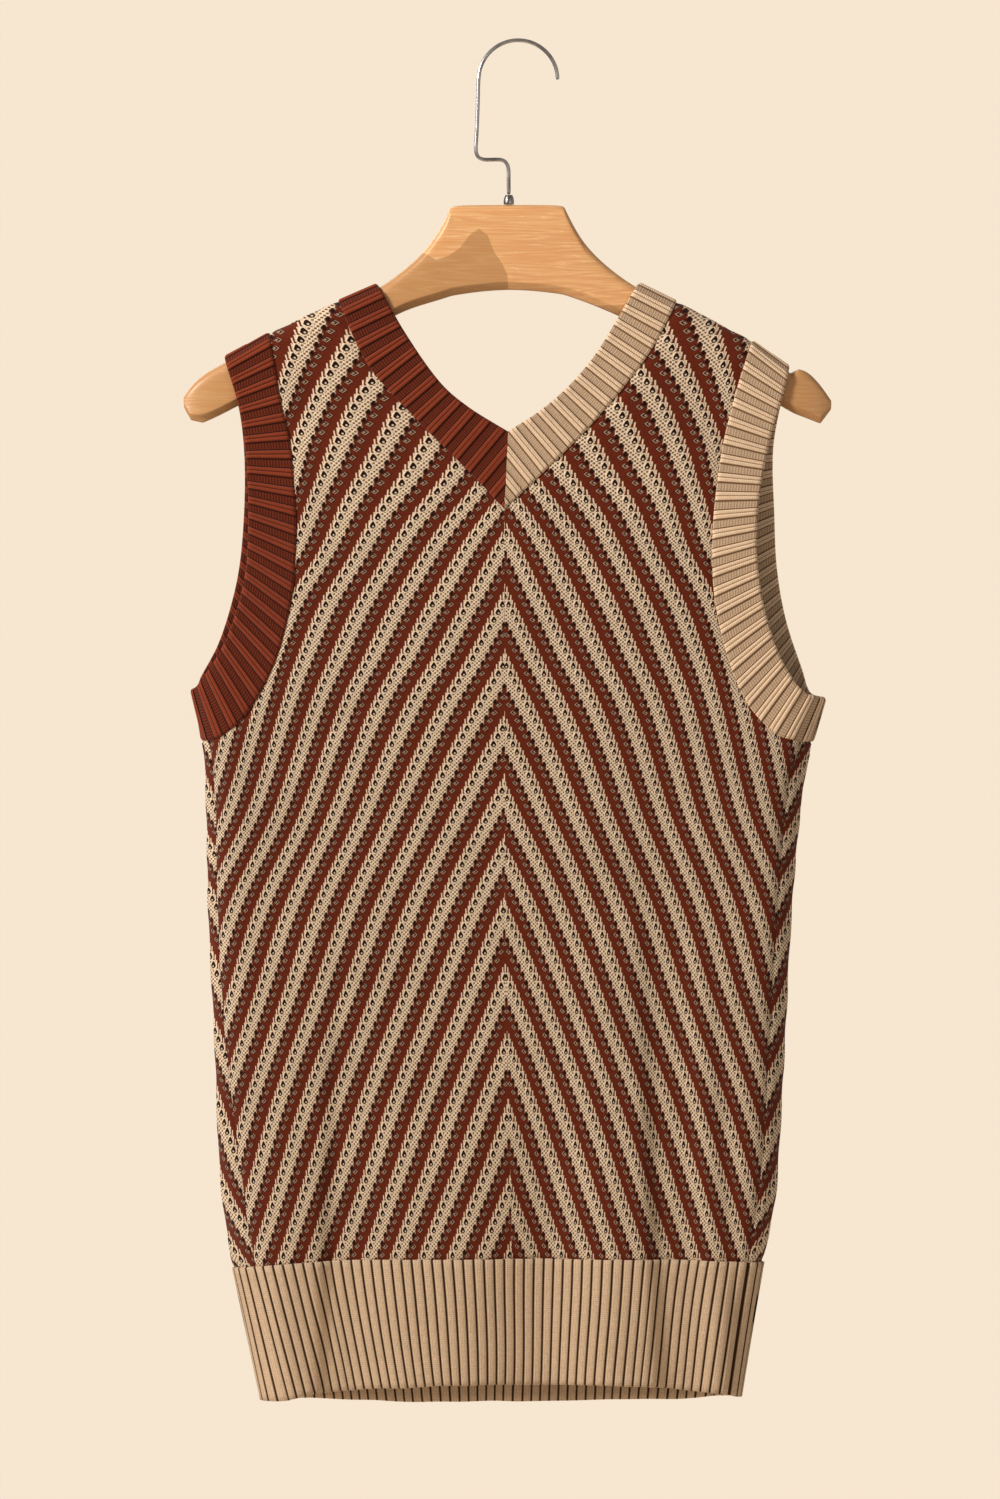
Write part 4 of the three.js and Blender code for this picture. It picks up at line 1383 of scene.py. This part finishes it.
@dataclass(frozen=True)
class PlatedSteel:
    """Bright plated wire with faint drawing marks."""

    tone: tuple[float, ...] = colour(196, 196, 198)
    dull: tuple[float, ...] = colour(138, 136, 134)

    def material(self) -> bpy.types.Material:
        """Builds the material on the piece's own coordinates.

        Returns:
            The steel's material.
        """
        made, bench, shader = new_material("plated_steel")
        place = bench.node("ShaderNodeTexCoord").outputs["Object"]
        marks = bench.noise(place, 900.0, 2.0)
        clouds = bench.noise(place, 90.0, 3.0)
        tarnish = bench.step(clouds, 0.4, 0.7)
        bench.feed(shader.inputs["Base Color"], bench.blend(tarnish, self.tone, self.dull))
        bench.feed(shader.inputs["Roughness"], bench.times_plus(clouds, 0.16, 0.16))
        shader.inputs["Metallic"].default_value = 1.0
        relief(bench, shader, marks, 0.00003)
        return made


@dataclass(frozen=True)
class Waver:
    """A gentle unevenness that is the same on each run."""

    size: float
    # how long its waves are along the two coordinates
    first: float
    second: float
    seed: int
    waves: int = 7
    fullness: float = 3.2

    def at(self, a: np.ndarray, b: np.ndarray) -> np.ndarray:
        """Reads the unevenness.

        Args:
            a: places along the first coordinate.
            b: places along the second one.

        Returns:
            Values of about -size to size.
        """
        a, b = a / self.first, b / self.second
        draw = np.random.default_rng(self.seed)
        total = np.zeros(np.broadcast(a, b).shape)
        for _ in range(self.waves):
            turn = draw.uniform(0, 2 * math.pi)
            rate = draw.uniform(0.6, 1.7)
            phase = draw.uniform(0, 2 * math.pi)
            total = total + np.sin(rate * (a * math.cos(turn) + b * math.sin(turn)) + phase)
        return self.size * (total / self.fullness)


@dataclass
class BodyPanel:
    """One chevron panel. The back one turns round both side folds to the side seams."""

    side: Side
    form: HangingForm
    seams: Seams
    chart: ChevronChart = field(default_factory=ChevronChart)
    flat: tuple[float, float] = (0.40, 0.63)
    area: float = 0.2
    low_rows: int = 98
    arm_rows: int = 88
    neck_rows: int = 60
    columns: int = 72
    row_bend: float = 1.15
    corner_z: float = -470.0
    fold_dip: float = 2.5
    stripe_rise: float = 0.35
    seam_dip: float = 0.8
    seam_width: float = 3.2
    # the share of the cloth that its relief may take away
    deepest: float = 0.6
    phase: float = 0.0
    waver: Waver = Waver(0.35, 26, 30, seed=11)
    # samples of a row on its own sheet, behind, and from the side fold to the seam ahead
    samples: int = 160
    samples_behind: int = 400
    samples_ahead: int = 80

    def build(self) -> bpy.types.Object:
        """Builds both halves as one sheet and closes it.

        Returns:
            The panel.
        """
        halves = [self._half(hand) for hand in Hand]
        rows, cols = halves[0][0].x.shape
        tip = rows - self.neck_rows
        index = np.arange(2 * rows * cols).reshape(2, rows, cols)
        index[1, : tip + 1, 0] = index[0, : tip + 1, 0]
        grids = [grid_faces(index[0])[:, ::-1], grid_faces(index[1])]
        faces = np.concatenate(grids)
        used, faces = np.unique(faces, return_inverse=True)
        faces = faces.reshape(-1, 4)
        both = chain(*[Places(*[v.reshape(-1) for v in (p.sheet, p.x, p.z)]) for p, _, _ in halves])
        points, normals = self.form.lift(both.part(used))
        out = np.concatenate([o.reshape(-1) for _, o, _ in halves])[used]
        sign = np.repeat([-1.0, 1.0], rows * cols)[used]
        edge = np.concatenate([e.reshape(-1) for _, _, e in halves])[used]
        stitch, other = (self._stitches(half, out, both.z[used]) for half in (sign, abs(sign)))
        centre = (out < 1e-6) & (sign < 0)
        other = np.where(centre[:, None], other, stitch)
        stripe = np.mod(stitch[:, 1] / self.chart.courses - stitch[:, 0] / self.chart.wales, 1.0)
        raised = self.stripe_rise * np.sin(2 * math.pi * stripe)
        raised = raised + self.waver.at(points[:, 0], points[:, 2])
        raised = raised - self.seam_dip * np.exp(-((edge / self.seam_width) ** 2))
        raised = np.maximum(raised, -CLOTH * self.deepest)
        sheet = ClothSheet(points, normals, faces, stitch, raised, np.zeros(len(points)), other)
        return sheet.closed(f"{self.side.word}_knit")

    def dress(self, panel: bpy.types.Object, finish: bpy.types.Material) -> None:
        """Gives the panel its knitting and body.

        Args:
            panel: the built panel.
            finish: its knitting.
        """
        panel.data.materials.append(finish)
        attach(panel, "root")
        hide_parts(f"{self.side.word}_panel")

    def _stitches(self, sign: np.ndarray, out: np.ndarray, z: np.ndarray) -> np.ndarray:
        """Wale, course and half at some places.

        Args:
            sign: -1 on the left half, 1 on the right one.
            out: distance across from the centre line, and on round the fold.
            z: heights.

        Returns:
            Three columns, the first two moved by whole repeats so that they stay above 0.
        """
        wale, course = self.chart.lattice(sign, out, z)
        course = course + (4 + self.phase) * self.chart.courses
        return np.stack([wale + 4 * self.chart.wales, course, sign], axis=1)

    def _half(self, hand: Hand) -> tuple[Places, np.ndarray, np.ndarray]:
        """The grid of one half of the panel, from the hem up.

        Args:
            hand: left or right.

        Returns:
            Places, each one's distance across from the centre line and on round the fold, and
            its distance along the cloth from the nearest seam.
        """
        form, side = self.form, self.side
        arm = form.evenly(self.seams.arm(hand, side, "seam"), self.arm_rows)
        neck = form.evenly(self.seams.neck(hand, side, "seam"), self.neck_rows)
        foot_z = float(form.seam_height(form.seam_foot(hand)))
        low_z = np.linspace(foot_z, arm.z[0], self.low_rows, endpoint=False)
        low = Places(np.full(self.low_rows, -1), form.side_x(hand, "seam", low_z), low_z)
        outer = chain(low, arm)
        tip = self.low_rows + self.arm_rows - self.neck_rows
        reach = run_of(np.stack([arm.x, arm.z], axis=-1))
        base = float(form.seam_height(0.0))
        first = np.linspace(base, self.corner_z, self.low_rows, endpoint=False)
        share = reach[: tip - self.low_rows] / reach[tip - self.low_rows]
        rest = self.corner_z + (neck.z[0] - self.corner_z) * share
        centre_z = np.concatenate([first, rest])
        middle = form.body.read("centre", "z", centre_z)
        inner = chain(Places(np.full(tip, side.value), middle, centre_z), neck)
        rows = len(outer.x)
        placed, outs, edges = [], [], []
        for i in range(rows):
            above = max(0.0, min(1.0, (i - self.low_rows) / max(1, tip - self.low_rows)))
            bend = self.row_bend + (1 - self.row_bend) * above
            row = self._row(hand, inner.part(i), outer.part(i), bend)
            start = form.body.read("centre", "z", row.z)
            turned_back = (row.sheet != side.value) & (side is Side.BACK)
            fold = form.fold_x(hand, row.z)
            out = np.abs(row.x - start)
            out = np.where(turned_back, np.abs(fold - start) + np.abs(fold - row.x), out)
            run = run_of(form.lift(row)[0])
            gap = run[-1] - run
            if i >= tip:
                gap = np.minimum(gap, run)
            gap = np.minimum(gap, np.maximum(0, row.z - form.seam_height(row.x)))
            placed.append((row.sheet, row.x, row.z))
            outs.append(out)
            edges.append(gap)
        grid = Places(*[np.array(column) for column in zip(*placed)])
        grid.z[0] = form.seam_height(grid.x[0])
        grid.z[-1] = form.shoulder_z(grid.x[-1])
        return grid, np.array(outs), np.array(edges)

    def _row(self, hand: Hand, inner: Places, outer: Places, bend: float) -> Places:
        """One row of the panel, at even distances along the cloth.

        Args:
            hand: left or right half.
            inner: its place on the centre line or neck.
            outer: its place on the side seam or armhole.
            bend: how much later than its width the row drops.

        Returns:
            The row's places from the centre outwards.
        """
        x0, z0, x1, z1 = float(inner.x), float(inner.z), float(outer.x), float(outer.z)
        if int(outer.sheet) == self.side.value:
            t = np.linspace(0, 1, self.samples)
            sheet = np.full(self.samples, self.side.value)
            run = Places(sheet, x0 + (x1 - x0) * t, z0 + (z1 - z0) * t**bend)
            return self.form.evenly(run, self.columns)
        fold = float(self.form.fold_x(hand, z1))
        t = 1 - (1 - np.linspace(0, 1, self.samples_behind)) ** 2
        dip = z1 - self.fold_dip
        behind = Places(np.ones(len(t)), x0 + (fold - x0) * t, z0 + (dip - z0) * t**bend)
        s = np.linspace(0, 1, self.samples_ahead)[1:] ** 2
        ahead = Places(-np.ones(len(s)), fold + (x1 - fold) * s, dip + (z1 - dip) * s)
        return self.form.evenly(chain(behind, ahead), self.columns)


@dataclass
class HemRib:
    """The ribbed welt under one panel, with round ribs and narrow grooves on both faces."""

    side: Side
    form: HangingForm
    flat: tuple[float, float] = (0.33, 0.085)
    pitch: float = 6.6
    rise: float = 1.15
    rows: int = 23
    # where the mesh has its columns across one rib
    across: tuple[float, ...] = (0.0, 0.05, 0.13, 0.28, 0.5, 0.72, 0.87, 0.95)
    course: float = 1.35
    # share of half a rib over which it rises, how round its top is, how much of it the inner
    # face shows, and the dip at the side seams
    flank: float = 0.62
    fullness: float = 2.4
    inner_share: float = 0.5
    seam_dip: float = 0.9
    seam_width: float = 0.55
    # unevenness of the ribs' width, of the lower edge, of the ribs' run and of the surface
    spacing: Waver = Waver(0.12, 2.3, 1, seed=23)
    ragged: Waver = Waver(0.5, 9, 1, seed=5)
    sway: Waver = Waver(1.1, 24, 34, seed=17)
    swell: Waver = Waver(0.45, 16, 38, seed=31)
    # distance from the side fold within which the ribs run straight, and from which they waver
    still: float = 16.0
    loosening: float = 20.0
    samples: int = 1200
    samples_ahead: int = 120

    def build(self) -> bpy.types.Object:
        """Builds the rib strip from the body's seam down and closes it.

        Returns:
            The hem rib.
        """
        form = self.form
        top = self._top()
        reach = run_of(form.lift(top)[0])
        ribs = round(reach[-1] / self.pitch)
        share = np.append((np.arange(ribs)[:, None] + np.array(self.across)).reshape(-1), ribs)
        uneven = share + self.spacing.at(share, 0 * share) * (share % ribs > 0)
        want = np.clip(uneven / ribs, 0, 1) * reach[-1]
        near = np.clip(np.searchsorted(reach, want), 0, len(reach) - 1)
        x = np.interp(want, reach, top.x)
        head = Places(top.sheet[near], x, np.interp(want, reach, top.z))
        foot = self._foot(head)
        t = np.linspace(0, 1, self.rows)[:, None]
        xs, zs = head.x + (foot.x - head.x) * t, head.z + (foot.z - head.z) * t
        zs = zs + self.ragged.at(xs, 0 * zs) * t**3
        sides = (form.fold_x(Hand.LEFT, zs), form.fold_x(Hand.RIGHT, zs))
        room = np.minimum(xs - sides[0], sides[1] - xs)
        free = np.sin(math.pi * t) * np.clip((room - self.still) / self.loosening, 0, 1)
        xs = xs + free * self.sway.at(xs, zs)
        sheets = np.repeat(head.sheet[None], self.rows, axis=0)
        places = Places(sheets.reshape(-1), xs.reshape(-1), zs.reshape(-1))
        outer, normals = form.lift(places)
        phase = np.repeat(share[None], self.rows, axis=0).reshape(-1)
        edge = np.abs(np.mod(phase + 0.5, 1.0) - 0.5) * 2
        crown = 1 - (1 - np.minimum(edge / self.flank, 1)) ** self.fullness
        reach_down = (t * np.ones_like(xs)).reshape(-1)
        raised = self.rise * crown + self.swell.at(places.x, places.z) * reach_down
        inward = np.minimum(phase, ribs - phase)
        raised = raised - self.seam_dip * np.exp(-((inward / self.seam_width) ** 2))
        index = np.arange(len(phase)).reshape(self.rows, -1)
        down = (head.z - zs).reshape(-1) / self.course
        stitch = np.stack([phase, down, np.zeros_like(phase)], axis=1)
        sunk = self.inner_share * crown
        sheet = ClothSheet(outer, normals, grid_faces(index), stitch, raised, sunk)
        return sheet.closed(f"{self.side.word}_hem_knit")

    def dress(self, hem: bpy.types.Object, finish: bpy.types.Material) -> None:
        """Gives the hem rib its yarn and body.

        Args:
            hem: the built hem rib.
            finish: its knitting.
        """
        hem.data.materials.append(finish)
        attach(hem, "root")
        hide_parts(f"hem_rib_{self.side.word}")

    def _top(self) -> Places:
        """The seam with the body, from the left side seam to the right one.

        Returns:
            The finely sampled seam. The back's turns round both side folds.
        """
        form = self.form
        ends = [form.seam_foot(hand) for hand in Hand]
        if self.side is Side.FRONT:
            x = np.linspace(ends[0], ends[1], self.samples)
            return Places(np.full(self.samples, -1), x, form.seam_height(x))
        folds = [float(form.fold_x(hand, form.seam_height(end))) for hand, end in zip(Hand, ends)]
        s = np.linspace(0, 1, self.samples_ahead)
        bow = 0.5 - 0.5 * np.cos(np.pi * np.linspace(0, 1, self.samples))
        left = ends[0] + (folds[0] - ends[0]) * (1 - (1 - s) ** 2)
        behind = folds[0] + (folds[1] - folds[0]) * bow
        right = folds[1] + (ends[1] - folds[1]) * s**2
        runs = [left, behind[1:], right[1:]]
        x = np.concatenate(runs)
        sheet = np.repeat([-1, 1, -1], [len(run) for run in runs])
        return Places(sheet, x, form.seam_height(x))

    def _foot(self, head: Places) -> Places:
        """The lower edge.

        Args:
            head: the seam above.

        Returns:
            A place on the edge for each place of the seam.
        """
        form = self.form
        left = head.x < 0
        corner = np.where(left, *form.corner_z)
        line = "seam" if self.side is Side.FRONT else "fold"
        x = head.x * form.near_x(left, line, corner) / form.near_x(left, line, head.z)
        z = form.foot_height(self.side, x)
        limit = form.near_x(left, "fold", z)
        x = np.sign(limit) * np.minimum(np.abs(x), np.abs(limit))
        for end, hand in ((0, Hand.LEFT), (-1, Hand.RIGHT)):
            z_end = form.corner_z[end]
            x_end = float(form.side_x(hand, "seam", z_end))
            if self.side is Side.BACK:
                # the short stretch on the front sheet eases from the fold to the corner
                mine = (head.sheet < 0) & (left if hand is Hand.LEFT else ~left)
                order = np.abs(head.x[mine] - head.x[end])
                share = 1 - order / max(1e-6, order.max())
                fold_z = form.foot_height(self.side, np.array(limit[end]))
                z[mine] = fold_z + (z_end - fold_z) * share
                fold_x = form.fold_x(hand, z[mine])
                x[mine] = fold_x + (x_end - fold_x) * share
            else:
                x[end] = x_end
                z[end] = z_end
        return Places(head.sheet, x, z)


@dataclass
class RibStrip:
    """A ribbed band round the neck or an armhole: high groups of fine ridges between low nets."""

    name: str
    nodes: tuple[str, str]
    slot: str
    form: HangingForm
    seam: tuple[Places, Places]
    edge: tuple[Places, Places]
    flat: tuple[float, float]
    repeats: int
    rows: int
    step: float
    square_ribs: bool
    rests: str
    low: float = 0.46
    ramp: float = 0.05
    rise: float = 0.9
    ridges: int = 4
    ridge_at: float = 0.625
    ridge_rise: float = 0.3
    inner_share: float = 0.3
    # how fast the relief fades in from the rims, and how much of it they keep
    rim_slope: float = 14.0
    rim_least: float = 0.35
    course: float = 1.35
    # the middle line by which square ribs are counted: every so many of its points, the ends
    # left out, points between which the end's direction is read, and the straight run added
    every: int = 6
    inset: int = 5
    aim: int = 4
    added: int = 15
    stride: float = 4.0
    batch: int = 2000

    def build(self) -> bpy.types.Object:
        """Builds the strip, front run and back run in one, and closes it.

        Returns:
            The band.
        """
        form = self.form
        paths = [self._over(self.seam), self._over(self.edge)]
        count = max(8, round(run_of(form.lift(paths[0])[0])[-1] / self.step))
        seam, edge = (form.evenly(path, count) for path in paths)
        t = np.linspace(0, 1, self.rows)[:, None]
        xs, zs = seam.x + (edge.x - seam.x) * t, seam.z + (edge.z - seam.z) * t
        crossed = (seam.sheet != edge.sheet)[None] & (t > 0.5)
        sheets = np.where(crossed, edge.sheet[None], seam.sheet[None])
        sheets = sheets * np.ones_like(xs)
        zs = np.minimum(zs, form.shoulder_z(xs))
        outer, normals = form.lift(Places(sheets.reshape(-1), xs.reshape(-1), zs.reshape(-1)))
        phase = self._phase(outer.reshape(self.rows, count, 3), count)
        f = np.mod(phase, 1.0)
        up = ease((f - self.low) / self.ramp) * ease((1 - f) / self.ramp)
        fine = np.cos(2 * math.pi * self.ridges * (f - self.ridge_at)) * self.ridge_rise * up
        wide = (t * np.linalg.norm(outer[:count] - outer[-count:], axis=1)[None]).reshape(-1)
        raised = self.rise * up + fine
        rim = np.minimum(t, 1 - t).repeat(count, axis=1).reshape(-1)
        raised = raised * ease(rim * self.rim_slope + self.rim_least)
        index = np.arange(len(phase)).reshape(self.rows, count)
        stitch = np.stack([phase, wide / self.course, np.zeros_like(phase)], axis=1)
        sunk = self.inner_share * up
        sheet = ClothSheet(outer, normals, grid_faces(index), stitch, raised, sunk)
        return sheet.closed(self.name)

    def dress(self, band: bpy.types.Object, finish: bpy.types.Material) -> None:
        """Gives the band its yarn and body.

        Args:
            band: the built band.
            finish: its knitting.
        """
        band.data.materials.append(finish)
        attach(band, "root")
        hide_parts(*self.nodes)

    def _over(self, runs: tuple[Places, Places]) -> Places:
        """A path up the front and over the shoulder line down the back."""
        back = runs[1].part(slice(None, None, -1))
        return chain(runs[0], back.part(slice(1, None)))

    def _phase(self, grid: np.ndarray, count: int) -> np.ndarray:
        """Rib repeats from the strip's start at each point.

        Args:
            grid: the strip's points, rows from seam to edge.
            count: points along the strip.

        Returns:
            The repeats, whole numbers at the start of each low net.
        """
        even = np.linspace(0, self.repeats, count)
        if not self.square_ribs:
            return np.repeat(even[None], self.rows, axis=0).reshape(-1)
        middle = (grid[0] + grid[-1]) / 2
        keep = slice(None, None, self.every)
        line, mark = middle[keep], even[keep]
        # past the V the middle line runs on straight, so that the mitre cuts the ribs
        for end in (0, -1):
            there = self.inset if end == 0 else len(line) - 1 - self.inset
            before = there + (self.aim if end == 0 else -self.aim)
            away = line[there] - line[before]
            rate = (mark[there] - mark[before]) / np.linalg.norm(away)
            unit = away / np.linalg.norm(away)
            run = np.arange(1, self.added + 1)[:, None] * self.stride
            more, marks = line[there] + unit * run, mark[there] + rate * run[:, 0]
            if end == 0:
                line = np.concatenate([more[::-1], line[there:]])
                mark = np.concatenate([marks[::-1], mark[there:]])
            else:
                line = np.concatenate([line[: there + 1], more])
                mark = np.concatenate([mark[: there + 1], marks])
        a, b = line[:-1], line[1:]
        d = b - a
        points = grid.reshape(-1, 3)
        phase = np.zeros(len(points))
        for start in range(0, len(points), self.batch):
            p = points[start : start + self.batch, None]
            s = np.clip(((p - a) * d).sum(-1) / (d * d).sum(-1), 0, 1)
            gap = np.linalg.norm(p - a - s[..., None] * d, axis=-1)
            k = gap.argmin(axis=1)
            at = s[np.arange(len(k)), k]
            phase[start : start + self.batch] = mark[k] + (mark[k + 1] - mark[k]) * at
        return phase


def only(picked: bpy.types.Object) -> None:
    """Makes one object the only one selected, and the active one.

    Args:
        picked: the object.
    """
    bpy.ops.object.select_all(action="DESELECT")
    picked.select_set(True)
    bpy.context.view_layer.objects.active = picked


def refined_copy(node: str, name: str, bevel: float, levels: int = 2) -> bpy.types.Object:
    """A copy of one of the frame's solids with its edges rounded and its faces refined.

    Args:
        node: the solid's name.
        name: the new object's name.
        bevel: width of the rounding on its sharp edges, in metres, or 0.
        levels: how often its faces are halved and smoothed.

    Returns:
        The refined copy.
    """
    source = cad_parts[node]
    copy = bpy.data.objects.new(name, source.data.copy())
    bpy.context.scene.collection.objects.link(copy)
    copy.data.materials.clear()
    only(copy)
    bpy.ops.object.mode_set(mode="EDIT")
    bpy.ops.mesh.select_all(action="SELECT")
    bpy.ops.mesh.remove_doubles(threshold=0.00002)
    bpy.ops.mesh.tris_convert_to_quads(face_threshold=0.6, shape_threshold=0.9)
    bpy.ops.object.mode_set(mode="OBJECT")
    if bevel > 0:
        edge = copy.modifiers.new("edge", "BEVEL")
        edge.width = bevel
        edge.segments = 2
        edge.limit_method = "ANGLE"
        edge.angle_limit = math.radians(35)
        bpy.ops.object.modifier_apply(modifier=edge.name)
    smooth = copy.modifiers.new("smooth", "SUBSURF")
    smooth.levels = smooth.render_levels = levels
    bpy.ops.object.modifier_apply(modifier=smooth.name)
    bpy.ops.object.shade_smooth_by_angle(angle=math.radians(50))
    bpy.ops.object.select_all(action="DESELECT")
    return copy


@dataclass
class Hanger:
    """The wooden hanger with its ferrule and bent wire hook."""

    wood_edge: float = 0.0008
    ferrule_edge: float = 0.0004

    def build(self) -> dict[str, bpy.types.Object]:
        """Refines each of the hanger's solids.

        Returns:
            The new pieces by the names of the solids that they stand for.
        """
        return {
            "hanger_body": refined_copy("hanger_body", "hanger_wood", self.wood_edge),
            "hanger_ferrule": refined_copy("hanger_ferrule", "ferrule_steel", self.ferrule_edge),
            "hanger_hook": refined_copy("hanger_hook", "hook_wire", 0.0),
        }

    def dress(
        self, made: dict[str, bpy.types.Object], wood: bpy.types.Material, steel: bpy.types.Material
    ) -> None:
        """Gives each piece its finish and its place on the body.

        Args:
            made: the pieces by the solids that they stand for.
            wood: the finish of the body.
            steel: the finish of the ferrule and the hook.
        """
        for node, piece in made.items():
            piece.data.materials.append(wood if node == "hanger_body" else steel)
            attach(piece, "root")
            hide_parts(node)


@dataclass
class Studio:
    """Pale floor, soft light from the upper left, and the camera."""

    centre: tuple[float, float] = (-0.0118, -0.461)
    frame_height: float = 0.974
    distance: float = 3.5
    plane_y: float = -0.011
    sensor: float = 36.0
    floor_z: float = -1.25
    floor_size: float = 2.0
    wall_tone: tuple[float, ...] = colour(247, 230, 208)
    lamp_tone: tuple[float, float, float] = (1.0, 0.955, 0.90)
    sky_tone: tuple[float, ...] = colour(255, 240, 222)
    sky_strength: float = 0.32
    # each lamp's place, size and power
    lamps: tuple[tuple[str, tuple[float, float, float], float, float], ...] = (
        ("key", (-1.7, -1.3, 0.7), 0.6, 58.0),
        ("fill", (1.5, -2.4, -0.1), 1.8, 5.0),
        ("back", (-0.6, 1.9, 0.5), 1.4, 8.0),
    )

    def build(self) -> None:
        """Sets up everything that isn't part of the object."""
        self._floor()
        self._lights()
        self._camera()
        bpy.context.scene.view_settings.view_transform = "Standard"

    def _floor(self) -> None:
        """A plain round floor below the hanging object."""
        bpy.ops.object.select_all(action="DESELECT")
        bpy.ops.mesh.primitive_circle_add(
            vertices=96, radius=self.floor_size / 2, fill_type="NGON", location=(0, 0, self.floor_z)
        )
        floor = bpy.context.active_object
        floor.name = "floor"
        paint, _, shader = new_material("floor_paint")
        shader.inputs["Base Color"].default_value = self.wall_tone
        shader.inputs["Roughness"].default_value = 0.9
        floor.data.materials.append(paint)

    def _lights(self) -> None:
        """A key light, a wide weak fill, a soft back light and a pale surround."""
        aim = Vector((self.centre[0], 0, self.centre[1]))
        for name, place, size, power in self.lamps:
            lamp = bpy.data.lights.new(name, "AREA")
            lamp.shape = "DISK"
            lamp.size = size
            lamp.energy = power
            lamp.color = self.lamp_tone
            holder = bpy.data.objects.new(name, lamp)
            holder.location = place
            holder.rotation_euler = (aim - Vector(place)).to_track_quat("-Z", "Y").to_euler()
            bpy.context.scene.collection.objects.link(holder)
        world = bpy.data.worlds.new("surround")
        world.use_nodes = True
        bpy.context.scene.world = world
        tree = world.node_tree
        tree.nodes.clear()
        bench = Bench(tree)
        seen, lit = bench.node("ShaderNodeBackground"), bench.node("ShaderNodeBackground")
        seen.inputs["Color"].default_value = self.wall_tone
        lit.inputs["Color"].default_value = self.sky_tone
        lit.inputs["Strength"].default_value = self.sky_strength
        ray = bench.node("ShaderNodeLightPath").outputs["Is Camera Ray"]
        both = bench.node("ShaderNodeMixShader")
        bench.feed(both.inputs[0], ray)
        bench.feed(both.inputs[1], lit.outputs[0])
        bench.feed(both.inputs[2], seen.outputs[0])
        result = bench.node("ShaderNodeOutputWorld")
        bench.feed(result.inputs["Surface"], both.outputs[0])

    def _camera(self) -> None:
        """The camera, straight on, with the photograph's whole frame at the garment's plane."""
        data = bpy.data.cameras.new("view")
        data.sensor_width = self.sensor
        data.lens = self.sensor * self.distance / self.frame_height
        holder = bpy.data.objects.new("view", data)
        holder.location = (self.centre[0], self.plane_y - self.distance, self.centre[1])
        holder.rotation_euler = (math.pi / 2, 0, 0)
        bpy.context.scene.collection.objects.link(holder)
        bpy.context.scene.camera = holder


class Opening(Enum):
    """The openings that have a band."""

    NECK = "neck"
    ARM = "arm"


# each band's cut size, rib repeats, rows and step of its mesh, and whether the ribs run square
# to its middle line
BANDS: dict[Opening, dict[str, object]] = {
    Opening.NECK: dict(flat=(0.031, 0.372), repeats=28, rows=24, step=0.5, square_ribs=True),
    Opening.ARM: dict(flat=(0.030, 0.56), repeats=49, rows=20, step=0.55, square_ribs=False),
}


def rib_band(opening: Opening, hand: Hand, seams: Seams) -> RibStrip:
    """One band: half the neck's from V to V, or an armhole's all round.

    Args:
        opening: what it edges.
        hand: the left or the right one.
        seams: the vest's seams and edges.

    Returns:
        The band, yet to be built.
    """
    path = seams.neck if opening is Opening.NECK else seams.arm
    stem = f"{opening.value}band_{hand.word}"
    return RibStrip(
        name=f"{stem}_knit",
        nodes=(f"{stem}_front", f"{stem}_back"),
        slot="rust_rib" if hand is Hand.LEFT else "sand_rib",
        form=seams.form,
        seam=tuple(path(hand, side, "seam") for side in Side),
        edge=tuple(path(hand, side, "edge") for side in Side),
        rests="front_knit",
        **BANDS[opening],
    )


def report(made: bpy.types.Object) -> None:
    """Logs a finished piece.

    Args:
        made: the piece.
    """
    LOG.info("%s: %d faces", made.name, len(made.data.polygons))


def main() -> None:
    """Builds the pieces in the order in which they would be made up, and reports each one."""
    logging.basicConfig(level=logging.INFO, format="%(name)s: %(message)s")
    form = HangingForm()
    seams = Seams(form)
    chevron = ChevronKnit().material()
    # each rib yarn's second colour is the painted shade of its grooves
    hem_yarn = RibKnit(
        "sand_hem", colour(216, 187, 156), colour(66, 40, 20), columns=3, low=0.0, net=0.0, heather=1.0
    ).material()
    rust_yarn = RibKnit(
        "rust_rib", colour(138, 60, 36), colour(50, 15, 6), columns=4, low=0.46, net=0.8
    ).material()
    sand_yarn = RibKnit(
        "sand_rib", colour(242, 211, 178), colour(118, 86, 56), columns=4, low=0.46, net=0.6
    ).material()
    for side in Side:
        front = side is Side.FRONT
        panel = BodyPanel(
            side,
            form,
            seams,
            flat=(0.40, 0.63) if front else (0.44, 0.63),
            area=0.2 if front else 0.23,
            columns=72 if front else 82,
            phase=0.0 if front else 0.3,
        )
        made = panel.build()
        panel.dress(made, chevron)
        report(made)
        hem = HemRib(side, form, flat=(0.33, 0.085) if front else (0.42, 0.10))
        made = hem.build()
        hem.dress(made, hem_yarn)
        report(made)
    for hand in Hand:
        yarn = rust_yarn if hand is Hand.LEFT else sand_yarn
        for opening in Opening:
            band = rib_band(opening, hand, seams)
            made = band.build()
            band.dress(made, yarn)
            report(made)
    hanger = Hanger()
    pieces = hanger.build()
    hanger.dress(pieces, BeechWood().material(), PlatedSteel().material())
    for piece in pieces.values():
        report(piece)
    Studio().build()


if __name__ == "__main__":
    main()
